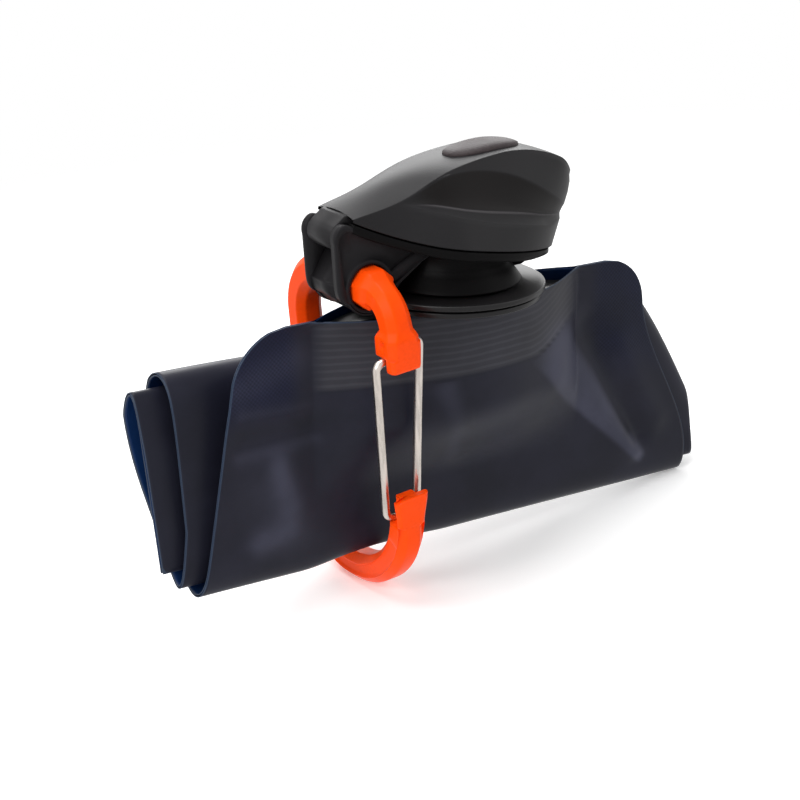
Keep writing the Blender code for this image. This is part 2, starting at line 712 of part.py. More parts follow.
def make_cap_base(stance):
    black = finish("cap_black", (0.028, 0.028, 0.031), 0.5)
    skirt_low = FLANGE_TOP + SKIRT_LIFT
    tall = EYE_Z + 0.014
    core = rod("cap_base", SKIRT_RADIUS, (0, 0), skirt_low, tall, top_radius=SKIRT_TOP_RADIUS, sides=TURN_SIDES)
    base = place("cap_base", core, stance, black)
    under_deck = place("under_deck", seam_slab("under_deck", 0.0001, lambda: BOAT_BOTTOM, -0.5 * DECK_THICKNESS), stance)
    boolean(base, under_deck, "INTERSECT")
    deck = place("deck", seam_slab("deck", 0, -SEAM_GAP - DECK_THICKNESS, -SEAM_GAP), stance)
    boolean(base, deck, "UNION")
    rib_low, rib_high = -0.5 * DECK_THICKNESS, DECK_RIB_HEIGHT
    rib = place("deck_rib", seam_slab("deck_rib", DECK_RIB_INSET, rib_low, rib_high, start=5), stance)
    inside = DECK_RIB_INSET + DECK_RIB_WIDTH
    rib_inside = place("rib_inside", seam_slab("rib_inside", inside, -DECK_THICKNESS, 3 * rib_high, start=4), stance)
    boolean(rib, rib_inside)
    boolean(base, rib, "UNION")
    arm = place("arm", prism("arm", arm_outline(), -ARM_HALF_WIDTH, ARM_HALF_WIDTH), stance)
    boolean(base, arm, "UNION")
    brace_x = SKIRT_RADIUS - 0.0012
    brace_tip = NOSE_X - 0.0035
    brace_z = seam_z(brace_tip) - SEAM_GAP - 0.6 * DECK_THICKNESS
    brace = [(brace_x, skirt_low + 0.0005), (brace_x + 0.0045, skirt_low + 0.0006), (brace_tip, brace_z), (brace_x, brace_z)]
    web = place("nose_brace", prism("nose_brace", brace, -GUSSET_HALF_WIDTH, GUSSET_HALF_WIDTH), stance)
    boolean(base, web, "UNION")
    cut_arm(base, stance)
    cut_bores(base, stance)


def cut_arm(base, stance):
    """The space round the hinge, the sunk side panels, the eye's tube and the pin's hole."""
    front = HINGE_X + KNUCKLE_RADIUS + RUNNING_GAP
    rear = HINGE_X - 0.010
    high = CROWN_Z
    floor = EYE_Z + 0.0010
    hollow = [
        (rear, floor), (HINGE_X - 0.0018, floor), (HINGE_X + 0.0022, HINGE_Z - 0.0042),
        (front, HINGE_Z - 0.0018), (front, high), (rear, high),
    ]
    slot = place("arm_slot", prism("arm_slot", hollow, -ARM_SLOT_HALF_WIDTH, ARM_SLOT_HALF_WIDTH), stance)
    boolean(base, slot)
    for side in (-1, 1):
        near, far = sorted([side * (ARM_HALF_WIDTH - ARM_RECESS), side * (ARM_HALF_WIDTH + ARM_RECESS)])
        name = f"arm_recess_{'front' if side < 0 else 'back'}"
        boolean(base, place(name, prism(name, arm_outline(ARM_RIM), near, far), stance))
    tube = rod("eye_tube", EYE_RADIUS + EYE_WALL, (EYE_X, EYE_Z), -ARM_HALF_WIDTH, ARM_HALF_WIDTH, "Y", sides=28)
    boolean(base, place("eye_tube", tube, stance), "UNION")
    eye = rod("eye", EYE_RADIUS, (EYE_X, EYE_Z), -2 * ARM_HALF_WIDTH, 2 * ARM_HALF_WIDTH, "Y", sides=28)
    boolean(base, place("eye", eye, stance))
    blind = -ARM_HALF_WIDTH + ARM_RECESS + 0.0006
    hole = rod("pin_hole", PIN_RADIUS + SEAT_GAP, (HINGE_X, HINGE_Z), blind, 2 * ARM_HALF_WIDTH, "Y")
    boolean(base, place("pin_hole", hole, stance))


def cut_bores(base, stance):
    """The neck's socket, the way through for the water and the nozzle's pocket."""
    roof = NECK_TOP + 2 * SEAT_GAP + GASKET_THICKNESS
    socket = rod("neck_socket", NECK_RADIUS + RUNNING_GAP, (0, 0), BOAT_BOTTOM, roof, sides=TURN_SIDES)
    boolean(base, place("neck_socket", socket, stance))
    boolean(base, place("flow_hole", rod("flow_hole", FLOW_RADIUS, (0, 0), BOAT_BOTTOM, NOZZLE_TOP), stance))
    pocket = rod("nozzle_pocket", NOZZLE_BASE_RADIUS + SEAT_GAP, (0, 0), POCKET_FLOOR, NOZZLE_TOP, sides=TURN_SIDES)
    boolean(base, place("nozzle_pocket", pocket, stance))


def make_nozzle(stance):
    grey = finish("nozzle_grey", (0.10, 0.105, 0.11), 0.45)
    low = POCKET_FLOOR + SEAT_GAP
    base_top = low + NOZZLE_BASE_THICKNESS
    profile = [
        (0.8 * NOZZLE_RADIUS, NOZZLE_TOP), (NOZZLE_RADIUS, NOZZLE_TOP - 0.0010), (NOZZLE_RADIUS, NOZZLE_TOP - 0.0028),
        (0.86 * NOZZLE_RADIUS, NOZZLE_TOP - 0.0040), (1.12 * NOZZLE_RADIUS, base_top + 0.0006),
        (NOZZLE_BASE_RADIUS, base_top), (NOZZLE_BASE_RADIUS, low), (NOZZLE_BORE, low), (NOZZLE_BORE, NOZZLE_TOP),
    ]
    turned("drink_nozzle", profile, stance, grey)


# The lid


def make_lid(stance):
    grey = finish("lid_grey", (0.036, 0.036, 0.040), 0.48)
    shell = shell_between("lid_shell", lid_surface(0), lid_surface(LID_WALL), open_end=True)
    pivot = (HINGE_X, 0, HINGE_Z)
    lid = place("lid_shell", shell, stance, grey, origin=pivot, smooth=28)
    round_knuckle = [
        (HINGE_X + KNUCKLE_RADIUS * cos(a), HINGE_Z + KNUCKLE_RADIUS * sin(a))
        for a in np.radians(np.linspace(120, 360, 14))
    ]
    step_x, root_x = HINGE_X + KNUCKLE_RADIUS, APEX_X + 0.0040
    rear_top = (APEX_X - 0.0008, crown_z(APEX_X) - 0.35 * LID_WALL)
    outline = [(root_x, crown_z(root_x) - 0.5 * LID_WALL), rear_top] + round_knuckle
    outline += [(step_x, seam_z(step_x) + 0.0002), (root_x, seam_z(root_x) + 0.0002)]
    tongue = prism("tongue", outline, -TONGUE_HALF_WIDTH, TONGUE_HALF_WIDTH)
    boolean(lid, place("tongue", tongue, stance), "UNION")
    low = NOZZLE_TOP + 2 * SEAT_GAP + PLUG_DISC_THICKNESS
    post = rod("plug_post", POST_RADIUS, (0, 0), low, CROWN_Z - LID_WALL, sides=28)
    boolean(lid, place("plug_post", post, stance), "UNION")
    hole = rod("stem_hole", STEM_RADIUS + SEAT_GAP, (0, 0), low - LID_WALL, low + STEM_LENGTH + SEAT_GAP)
    boolean(lid, place("stem_hole", hole, stance))
    bore = rod("knuckle_bore", PIN_RADIUS + SEAT_GAP, (HINGE_X, HINGE_Z), -0.01, 0.01, "Y")
    boolean(lid, place("knuckle_bore", bore, stance))


def make_pin(stance):
    steel = finish("pin_steel", (0.56, 0.56, 0.57), 0.25, 1.0)
    low = -ARM_HALF_WIDTH + ARM_RECESS + 0.0009
    pin = rod("hinge_pin", PIN_RADIUS, (HINGE_X, HINGE_Z), low, ARM_HALF_WIDTH - ARM_RECESS - 0.0004, "Y")
    place("hinge_pin", pin, stance, steel, origin=(HINGE_X, 0, HINGE_Z))


def make_plug(stance):
    silicone = finish("plug_silicone", (0.33, 0.34, 0.35), 0.6)
    low = NOZZLE_TOP + SEAT_GAP
    high = low + PLUG_DISC_THICKNESS
    disc = 0.86 * POST_RADIUS
    profile = [
        (0, high + STEM_LENGTH), (STEM_RADIUS, high + STEM_LENGTH), (STEM_RADIUS, high), (disc, high),
        (disc, low), (PLUG_RADIUS, low), (0.8 * PLUG_RADIUS, low - PLUG_REACH), (0, low - PLUG_REACH),
    ]
    turned("plug_seal", profile, stance, silicone, closed=False)


def make_pad(stance):
    """A leaf-shaped rubber pad that follows the lid's crown."""
    rubber = finish("pad_rubber", (0.060, 0.048, 0.050), 0.75)
    x = np.linspace(PAD_REAR_X, PAD_FRONT_X, 15)
    along = np.linspace(-1, 1, 15)
    half = PAD_HALF_WIDTH * (1.06 - along**2)
    grids = []
    for raised in (True, False):
        rows = []
        for q in np.linspace(-1, 1, 7):
            y = half * q
            lid = crown_z(x) - crease_drop(x) * (y / crease_half_width(x)) ** 2
            dome = PAD_HEIGHT * (1 - 0.35 * q**2) * (1 - 0.45 * along**4)
            rows.append(np.column_stack([x, y, lid + SEAT_GAP + (dome if raised else 0)]))
        grids.append(np.stack(rows, axis=1))
    pivot = (HINGE_X, 0, HINGE_Z)
    place("thumb_pad", shell_between("thumb_pad", *grids), stance, rubber, origin=pivot)


# The carabiner


def rounded_path(corners, steps=ARC_STEPS):
    """An open path through its first and last corner, with each corner between rounded to its radius."""
    path = [np.array(corners[0][:2])]
    for before, here, after in zip(corners, corners[1:], corners[2:]):
        point = np.array(here[:2])
        back = np.array(before[:2]) - point
        ahead = np.array(after[:2]) - point
        back, ahead = back / np.linalg.norm(back), ahead / np.linalg.norm(ahead)
        half_angle = np.arccos(np.clip(back @ ahead, -1, 1)) / 2
        middle = (back + ahead) / np.linalg.norm(back + ahead)
        centre = point + middle * here[2] / sin(half_angle)
        first = point + back * here[2] / tan(half_angle) - centre
        last = point + ahead * here[2] / tan(half_angle) - centre
        start, end = np.arctan2(first[1], first[0]), np.arctan2(last[1], last[0])
        sweep = (end - start + pi) % (2 * pi) - pi
        for k in range(steps + 1):
            angle = start + sweep * k / steps
            path.append(centre + here[2] * np.array([cos(angle), sin(angle)]))
    path.append(np.array(corners[-1][:2]))
    return np.array(path)


def nose_end_w():
    return -(RING_FOOT - NOSE_ABOVE_FOOT)


def gate_line(w):
    """V of the ring's front side at a height: it runs in a little from the top to the nose."""
    return -RING_FRONT_TOP + (RING_FRONT_TOP - RING_FRONT_NOSE) * w / nose_end_w()


def ring_path():
    """The bar's centre line: up from the hinge end, through the eye, down the back, round the foot."""
    foot = -(RING_FOOT - BAR_HALF)
    corners = [
        (gate_line(HINGE_END_W), HINGE_END_W),
        (gate_line(0), 0.0, TOP_FRONT_RADIUS),
        (RING_BACK, 0.0, TOP_BACK_RADIUS),
        (RING_BACK, foot, FOOT_BACK_RADIUS),
        (gate_line(foot), foot, FOOT_FRONT_RADIUS),
        (gate_line(nose_end_w()), nose_end_w()),
    ]
    return rounded_path(corners)


def bar_section(half, groove):
    """The bar across (outward, U): a square with wide chamfers and a groove down each flat side."""
    flat, slot = half - BAR_CHAMFER, BAR_GROOVE_HALF
    right = [(half, flat), (flat, half), (slot, half), (0.7 * slot, half - groove)]
    right += [(-0.7 * slot, half - groove), (-slot, half), (-flat, half), (-half, flat)]
    return right + [(a, -b) for a, b in reversed(right)]


def ring_mesh():
    path = ring_path()
    ahead = np.gradient(path, axis=0)
    ahead /= np.linalg.norm(ahead, axis=1)[:, None]
    outward = np.column_stack([-ahead[:, 1], ahead[:, 0]])
    first_side = np.arange(len(path)) < len(path) / 2
    grooved = (path[:, 1] < -TOP_BACK_RADIUS) & ~first_side
    in_front = path[:, 0] < 0
    at_hinge = smoothstep(-path[:, 1], -0.5 * HINGE_END_W, -0.8 * HINGE_END_W) * first_side * in_front
    at_nose = smoothstep(path[:, 1], nose_end_w() - 2 * NOSE_NOTCH_LENGTH, nose_end_w()) * ~first_side * in_front
    half = BAR_HALF + (HINGE_END_HALF - BAR_HALF) * at_hinge + (NOSE_HALF - BAR_HALF) * at_nose
    loops = []
    for point, normal, own_half, cut in zip(path, outward, half, grooved):
        section = bar_section(own_half, BAR_GROOVE_DEPTH if cut else 0.05 * BAR_GROOVE_DEPTH)
        loops.append([(b, point[0] + a * normal[0], point[1] + a * normal[1]) for a, b in section])
    return lofted("carabiner_body", loops)


def make_carabiner(ring):
    orange = finish("clip_orange", (0.90, 0.115, 0.010), 0.32)
    body = place("carabiner_body", ring_mesh(), ring, orange, smooth=24)
    front = gate_line(nose_end_w()) - NOSE_HALF
    web_front = front + NOSE_FLANGE
    web_back = web_front + NOSE_WEB_DEPTH
    wide, deep, tall = 2 * BAR_HALF, 4 * BAR_HALF, 0.5 * nose_end_w()
    for side in (-1, 1):
        near, far = sorted([side * NOSE_WEB_HALF, side * wide])
        name = f"nose_notch_{'left' if side < 0 else 'right'}"
        cut = box(name, (near, web_front, nose_end_w() - NOSE_NOTCH_LENGTH), (far, web_front + deep, tall))
        boolean(body, place(name, cut, ring))
    floor = nose_end_w() - NOSE_NOTCH_LENGTH - SEAT_GAP
    rest = box("nose_notch_inner", (-wide, web_back, floor), (wide, web_back + deep, tall))
    boolean(body, place("nose_notch_inner", rest, ring))
    for name, side, w in (("socket_left", -1, SOCKET_LEFT_W), ("socket_right", 1, SOCKET_RIGHT_W)):
        low, high = sorted([side * SOCKET_FLOOR_U, side * wide])
        hole = rod(name, WIRE_RADIUS + SOCKET_GAP, (0, 0), low, high, "X", sides=12)
        stretch = 1 + SOCKET_PLAY / (WIRE_RADIUS + SOCKET_GAP)
        for vertex in hole.vertices:
            vertex.co.y = vertex.co.y * stretch + gate_line(w)
            vertex.co.z += w
        boolean(body, place(name, hole, ring))


def wire_points():
    """The gate's wire: out of the left socket, down, across behind the nose, up, into the right socket."""
    loop_v = gate_line(nose_end_w()) - NOSE_HALF + NOSE_FLANGE + NOSE_WEB_DEPTH + WIRE_RADIUS + SEAT_GAP
    loop_w = nose_end_w() - NOSE_NOTCH_LENGTH + WIRE_RADIUS + SEAT_GAP
    end_u = SOCKET_FLOOR_U + SEAT_GAP
    bend = WIRE_BEND
    left_v, right_v = gate_line(SOCKET_LEFT_W), gate_line(SOCKET_RIGHT_W)
    corners = [
        ((-end_u, left_v, SOCKET_LEFT_W), 0),
        ((-WIRE_TOP_U, left_v, SOCKET_LEFT_W), bend),
        ((-WIRE_FOOT_U, loop_v, loop_w), bend),
        ((WIRE_FOOT_U, loop_v, loop_w), bend),
        ((WIRE_TOP_U, right_v, SOCKET_RIGHT_W), bend),
        ((end_u, right_v, SOCKET_RIGHT_W), 0),
    ]
    points = [Vector(corners[0][0])]
    for before, here, after in zip(corners, corners[1:], corners[2:]):
        corner = Vector(here[0])
        start = corner + (Vector(before[0]) - corner).normalized() * here[1]
        end = corner + (Vector(after[0]) - corner).normalized() * here[1]
        for k in range(5):
            t = k / 4
            points.append(start * (1 - t) ** 2 + corner * 2 * t * (1 - t) + end * t**2)
    points.append(Vector(corners[-1][0]))
    return points


def make_gate(ring):
    steel = finish("wire_steel", (0.62, 0.58, 0.54), 0.3, 1.0)
    pivot = Vector((0, (gate_line(SOCKET_LEFT_W) + gate_line(SOCKET_RIGHT_W)) / 2, (SOCKET_LEFT_W + SOCKET_RIGHT_W) / 2))
    curve = bpy.data.curves.new("wire_gate", "CURVE")
    curve.dimensions = "3D"
    curve.bevel_depth = WIRE_RADIUS
    curve.bevel_resolution = 2
    curve.use_fill_caps = True
    points = wire_points()
    spline = curve.splines.new("POLY")
    spline.points.add(len(points) - 1)
    for target, point in zip(spline.points, points):
        target.co = (*(point - pivot), 1)
    curve.materials.append(steel)
    gate = bpy.data.objects.new("wire_gate", curve)
    gate.location = pivot
    gate.parent = ring
    bpy.data.collections[PARTS].objects.link(gate)


# How the whole stands


def stance_lean():
    """The lean about Y at which the carabiner's foot and the roll's right end touch one floor."""
    run, rise = FOLD_RIGHT - EYE_X, EYE_Z - FOLD_BOTTOM
    return asin(RING_FOOT / hypot(run, rise)) - atan2(rise, run)


def stand_on_floor(stance):
    """Moves the whole so that its box stands centred on the origin."""
    bpy.context.view_layer.update()
    graph = bpy.context.evaluated_depsgraph_get()
    corners = []
    for obj in bpy.data.collections[PARTS].objects:
        ready = obj.evaluated_get(graph)
        mesh = ready.to_mesh()
        points = np.empty(len(mesh.vertices) * 3, np.float32)
        mesh.vertices.foreach_get("co", points)
        ready.to_mesh_clear()
        matrix = np.array(ready.matrix_world)
        world = points.reshape(-1, 3) @ matrix[:3, :3].T + matrix[:3, 3]
        corners += [world.min(axis=0), world.max(axis=0)]
    low, high = np.min(corners, axis=0), np.max(corners, axis=0)
    stance.location = (-(low[0] + high[0]) / 2, -(low[1] + high[1]) / 2, -low[2])


def build():
    clear_scene()
    new_collection(PARTS)
    new_collection(CUTTERS)
    lean = stance_lean()
    stance = empty("stance", lean=lean)
    ring = empty("ring_pivot", stance, (EYE_X, 0, EYE_Z), -lean)
    make_films(stance)
    make_gusset(stance)
    make_fitment(stance)
    make_gasket(stance)
    make_cap_base(stance)
    make_nozzle(stance)
    make_lid(stance)
    make_pin(stance)
    make_plug(stance)
    make_pad(stance)
    make_carabiner(ring)
    make_gate(ring)
    stand_on_floor(stance)


build()
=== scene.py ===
"""A collapsible water bottle, rolled up and held by a carabiner clipped through its cap."""

import json
import math

import bmesh
import bpy
import numpy as np
from mathutils import Matrix

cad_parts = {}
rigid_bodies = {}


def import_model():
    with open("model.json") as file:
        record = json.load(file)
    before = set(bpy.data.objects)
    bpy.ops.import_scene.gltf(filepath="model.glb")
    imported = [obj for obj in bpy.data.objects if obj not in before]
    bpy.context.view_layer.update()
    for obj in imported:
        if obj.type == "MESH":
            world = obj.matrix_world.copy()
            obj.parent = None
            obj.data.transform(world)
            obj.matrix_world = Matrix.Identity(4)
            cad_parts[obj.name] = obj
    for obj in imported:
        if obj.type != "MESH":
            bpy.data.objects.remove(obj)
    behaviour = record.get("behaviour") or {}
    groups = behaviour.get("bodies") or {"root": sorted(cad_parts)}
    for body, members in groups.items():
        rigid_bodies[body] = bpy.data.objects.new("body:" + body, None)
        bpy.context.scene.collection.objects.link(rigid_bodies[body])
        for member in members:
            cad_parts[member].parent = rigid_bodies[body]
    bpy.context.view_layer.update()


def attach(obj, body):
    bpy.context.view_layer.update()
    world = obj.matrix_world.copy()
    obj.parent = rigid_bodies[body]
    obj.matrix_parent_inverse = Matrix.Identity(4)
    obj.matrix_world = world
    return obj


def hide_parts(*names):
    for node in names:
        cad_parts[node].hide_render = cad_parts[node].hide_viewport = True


for left_over in list(bpy.data.objects):
    bpy.data.objects.remove(left_over, do_unlink=True)

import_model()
scene = bpy.context.scene

# How the bottle lies. It is drawn upright about its spout, in millimetres, and then leant over, so that
# it stands on the carabiner's foot and on the roll's free end. The carabiner hangs straight down from
# the cap's eye, so it is drawn in a frame of its own: across, from front to back, and up.
LEAN = math.radians(5.863437394)
STANCE_MM = np.array([-4.142565, -2.45, 7.931656])
EYE_MM = np.array([-27.0, 0.0, 69.1])


def leant(points):
    """Upright millimetres to the model's metres: turned about the front-to-back axis, then moved."""
    p = np.asarray(points, float)
    x = p[..., 0] * math.cos(LEAN) + p[..., 2] * math.sin(LEAN)
    z = p[..., 2] * math.cos(LEAN) - p[..., 0] * math.sin(LEAN)
    return (np.stack([x, p[..., 1], z], axis=-1) + STANCE_MM) / 1000


def hung(points):
    """The carabiner's own millimetres, from the middle of the eye, to the model's metres."""
    return leant(EYE_MM) + np.asarray(points, float) / 1000


# The camera stands to the front left, a little above the bottle, and is turned so that the spout's
# axis stays upright in the picture. The focal length is in picture widths.
CAMERA_MM = np.array([-260.846, -372.752, 195.812])
CAMERA_AZIMUTH, CAMERA_PITCH = math.radians(33.5), math.radians(19.5)
FOCAL_WIDTHS, SENSOR_MM = 2005 / 800, 36

right = np.array([math.cos(CAMERA_AZIMUTH), -math.sin(CAMERA_AZIMUTH), 0])
level = np.array([math.sin(CAMERA_AZIMUTH), math.cos(CAMERA_AZIMUTH), 0])
ahead = level * math.cos(CAMERA_PITCH) - np.array([0, 0, math.sin(CAMERA_PITCH)])
above = np.cross(right, ahead)
turn = np.array([leant(v * 1000) - leant([0, 0, 0]) for v in (right, above, -ahead)]).T
camera = bpy.data.objects.new("camera", bpy.data.cameras.new("camera"))
camera.matrix_world = Matrix.LocRotScale(leant(CAMERA_MM), Matrix(turn.tolist()), None)
camera.data.sensor_width = SENSOR_MM
camera.data.lens = SENSOR_MM * FOCAL_WIDTHS
camera.data.clip_start = 0.01
scene.collection.objects.link(camera)
scene.camera = camera


# The rolled pouch: two films of flexible plastic, charcoal outside and deep blue inside, welded at
# their edges and round the spout, and rolled from the folded base up towards the spout. The whole
# roll follows one line in depth and height, which each station along the roll squeezes and bends.
FILM_MM, FILM_GAP_MM = 0.25, 0.3
PANEL_TOP, OUTER_TURN, INNER_TURN, ROLL_DEEP, STEP = 62.3, 50.6, 48.0, 19.4, 2.6
BOAT_HALF_LENGTH, BOAT_HALF_THICKNESS, BOAT_BOTTOM = 38.0, 12.5, 44.0
SHOULDER_ROUND, GUSSET_MM, GUSSET_NARROWER_MM, CUT_LEFT_MM = 12.2, 22, 12, 90
FILM_ROWS, FILM_COLUMNS, SPAN_STEPS, FRONT_LENGTH = 235, 200, 24, 64
LEFT_HANG, BASE_HANG, FLANGE_DIP, CLIP_LIFT = 1.3, 3.4, 0.9, 0.6
SAG_FROM, SAG_RUN, SAG_BEND, SAG_ABOVE = 60.5, 29.5, 1.35, 3
CHARCOAL, NAVY, DEEP_BLUE = (0.0122, 0.0125, 0.0215, 1), (0.0060, 0.0078, 0.0245, 1), (0.004, 0.020, 0.076, 1)
GUSSET_BLUE, CUT_EDGE = (0.004, 0.016, 0.050, 1), (0.028, 0.041, 0.068, 1)


def smooth(value, low, high):
    """0 below low, 1 above high, with a smooth cubic between them."""
    s = np.clip((value - low) / (high - low), 0, 1)
    return s * s * (3 - 2 * s)


def roll_line():
    """The roll's line as a uniform cubic B-spline through depth and height controls: down the front,
    round the fold, then twice round. It is cut at even steps of length and turning together, and
    twice as finely down the front panel. Returns each row's depth, height, length from the top edge,
    and whether it lies past the front panel."""
    t, o, i, d, s = PANEL_TOP, OUTER_TURN, INNER_TURN, ROLL_DEEP, STEP
    front = [(0, t), (0, 0.74 * t), (0, 0.48 * t), (0, 0.22 * t), (0, 0.06 * t), (1.1 * s, -0.006 * t)]
    up = [(2.9 * s, 0.01 * o), (4.05 * s, 0.155 * o), (0.78 * d, 0.36 * o), (0.98 * d, 0.6 * o)]
    over = [(1.02 * d, 0.84 * o), (0.86 * d, 1.01 * o), (0.56 * d, 1.05 * o), (0.34 * d, 0.96 * o)]
    down = [(1.9 * s, 0.72 * o), (1.45 * s, 0.42 * o), (1.05 * s, 0.2 * o), (1.05 * s, 0.08 * o)]
    again = [(1.85 * s, 0.05 * o), (2.6 * s, 0.13 * o), (0.54 * d, 0.38 * i), (0.79 * d, 0.62 * i)]
    inner = [(0.84 * d, 0.86 * i), (0.74 * d, 1.02 * i), (0.58 * d, 1.02 * i), (0.49 * d, 0.86 * i)]
    base = [(0.39 * d, 0.58 * i), (0.3 * d, 0.34 * i), (2.0 * s, 0.22 * i)]
    p = np.array(front + up + over + down + again + inner + base)
    p = np.vstack([2 * p[0] - p[1], p, 2 * p[-1] - p[-2]])
    t = np.arange(SPAN_STEPS)[:, None] / SPAN_STEPS
    weight = np.hstack([(1 - t) ** 3, 3 * t**3 - 6 * t**2 + 4, -3 * t**3 + 3 * t**2 + 3 * t + 1, t**3]) / 6
    windows = np.lib.stride_tricks.sliding_window_view(p, (4, 2))[:, 0]
    fine = np.vstack([(weight @ windows).reshape(-1, 2), p[-2:-1]])
    steps = np.diff(fine, axis=0)
    lengths = np.linalg.norm(steps, axis=1)
    heading = np.unwrap(np.arctan2(steps[:, 1], steps[:, 0]))
    turning = np.abs(np.diff(heading, append=heading[-1]))
    so_far = np.concatenate([[0], np.cumsum(lengths)])
    effort = lengths * (1 + (so_far[1:] < FRONT_LENGTH)) + 4 * turning
    effort = np.concatenate([[0], np.cumsum(effort)])
    wanted = np.linspace(0, effort[-1], FILM_ROWS)
    depth, height, along = (np.interp(wanted, effort, v) for v in (fine[:, 0], fine[:, 1], so_far))
    return depth, height, along, along > along[np.argmin(height[: FILM_ROWS // 2])]


def film_edges(along):
    """Left and right ends of each row: shoulders rounded by a quarter circle, then flaring sides."""
    share, fold = along / along[-1], PANEL_TOP / along[-1]
    corner = np.clip(SHOULDER_ROUND - along, 0, SHOULDER_ROUND)
    inset = SHOULDER_ROUND - np.sqrt(SHOULDER_ROUND**2 - corner**2)
    turns = [0, fold, 1.9 * fold, 2.6 * fold, 3.5 * fold, 1]
    left = np.interp(share, turns, [57.0, 67.7, 71.2, 70.0, 78.2, 75.6])
    right = 59.2 + 16.8 * smooth(share, 0.16 * fold, 0.92 * fold) + 4.6 * smooth(share, fold, 2 * fold)
    return -left + inset, right - inset


def boat_bulge(x):
    """The fitment's half thickness: a parabola from end to end."""
    return BOAT_HALF_THICKNESS * np.clip(1 - (x / BOAT_HALF_LENGTH) ** 2, 0, None)


def squeeze(x, high):
    """The layers' share of their full depth at each station and height: a low and a high value, each
    a sum of smooth steps from the left end, across the clip and out to the right end."""
    from_left, from_clip, from_right = smooth(-x, 34, 66), smooth(x, -21, -6), smooth(x, 20, 62)
    full = 18.6 + 2.0 * from_left + 5.2 * from_clip - 6.8 * from_right
    low = 0.96 + 0.08 * from_left - 0.10 * from_right - 0.10 * (1 - from_left) * (1 - from_clip)
    return low + ((full - boat_bulge(x)) / (1.02 * ROLL_DEEP) - low) * high


def near_line(x, s, start, end, width):
    """1 on a line between two points of the film and falling off beside it as a bell curve. The width
    may go from one value to another along the line."""
    run = np.subtract(end, start)
    share = np.clip(((x - start[0]) * run[0] + (s - start[1]) * run[1]) / (run @ run), 0, 1)
    away = np.hypot(x - start[0] - share * run[0], s - start[1] - share * run[1])
    return np.exp(-((away / (width[0] + (width[1] - width[0]) * share)) ** 2))


def near_lines(x, s, lines):
    """The sum of several such lines, each with its strength before its two points and its widths."""
    return sum(strength * near_line(x, s, *line) for strength, *line in lines)


def front_relief(x, s):
    """How far the front panel stands out of its plain form, in millimetres, across and down it: bell
    curves along lines, kept flat under the clip, and one fold that ends at a slanted edge."""
    folds = near_lines(x, s, [
        (1.5, (31, 25), (58, 53), (7.5, 3.0)),  # ridge from the fitment's end to the lower right
        (-1.3, (42, 16), (60, 49), (4.5, 3.0)),  # valley beside it
        (0.8, (52, 24), (65, 45), (5, 4)),  # swell at the right end
        (0.55, (-47, 33), (-45, 43), (5, 5)),  # soft dents at the left end
        (-0.5, (-56, 25), (-30, 24), (3.5, 3.5)),
        (0.35, (-57, 18), (-30, 19), (3, 3)),
        (0.45, (-52, 52), (-44, 49), (5, 6)),
    ])
    before_edge = 1 - smooth(x - 0.45 * (s - 20), -5.2, -4.4)
    by_clip = 0.35 * near_line(x, s, (-9, 23), (-1, 40), (4, 4)) * before_edge
    return folds * smooth(np.abs(x + 24), 7, 16) + by_clip


def film_faces(side, offsets):
    """The roll's line moved to each station, then out along its normal by each offset.

    side is -1 for the film outside the roll and 1 for the one inside it. Returns the faces, the
    distance from the top edge and the place across for each point, and its distance from an edge.
    """
    depth, height, along, past = roll_line()
    left, right = film_edges(along)
    x = left[:, None] + (right - left)[:, None] * np.linspace(0, 1, FILM_COLUMNS)
    s, z, behind = (np.repeat(v[:, None], FILM_COLUMNS, axis=1) for v in (along, height, past))
    # The turns behind the front sag at the right end, and the last one hangs lower at the left end.
    sag = 1 - np.clip((x - SAG_FROM) / SAG_RUN, 0, 1) ** SAG_BEND
    z = np.where(behind & (z > SAG_ABOVE), SAG_ABOVE + (z - SAG_ABOVE) * sag, z)
    z = z - BASE_HANG * smooth(s, along[-1] - 30, along[-1]) * smooth(-x, 34, 70)
    high = smooth(z, 0.36 * BOAT_BOTTOM, 0.86 * BOAT_BOTTOM)
    y = depth[:, None] * squeeze(x, high) + np.where(behind, 1, side) * boat_bulge(x) * high
    # The carabiner's foot lifts the roll above it, and the front's top edge dips below the flange.
    clip_x = EYE_MM[0] + (EYE_MM[2] + 0.6) * math.tan(LEAN)
    z = z + CLIP_LIFT * (1 - smooth(np.abs(x - clip_x), 7.2, 21.6)) * np.clip(1 - z / 24, 0, 1)
    dip = FLANGE_DIP * (1 - smooth(np.abs(x), 22.5, BOAT_HALF_LENGTH))
    z = z - np.where(behind, 0, dip * smooth(z, 0.6 * PANEL_TOP, PANEL_TOP))
    z = z - LEFT_HANG * smooth(-x, 18, 40)
    step_y, step_z = np.gradient(y, axis=0), np.gradient(z, axis=0)
    length = np.hypot(step_y, step_z)
    out_y, out_z = step_z / length, -step_y / length
    panel = front_relief(x, s) * (1 - smooth(s, 50, 60))
    faces = []
    for offset in offsets:
        reach = (offset[:, None] if np.ndim(offset) else offset) + panel
        faces.append(np.stack([x, y + reach * out_y, z + reach * out_z], axis=2))
    edge = np.minimum(np.minimum(x - left[:, None], right[:, None] - x), np.minimum(s, along[-1] - s))
    return faces, s, x, edge


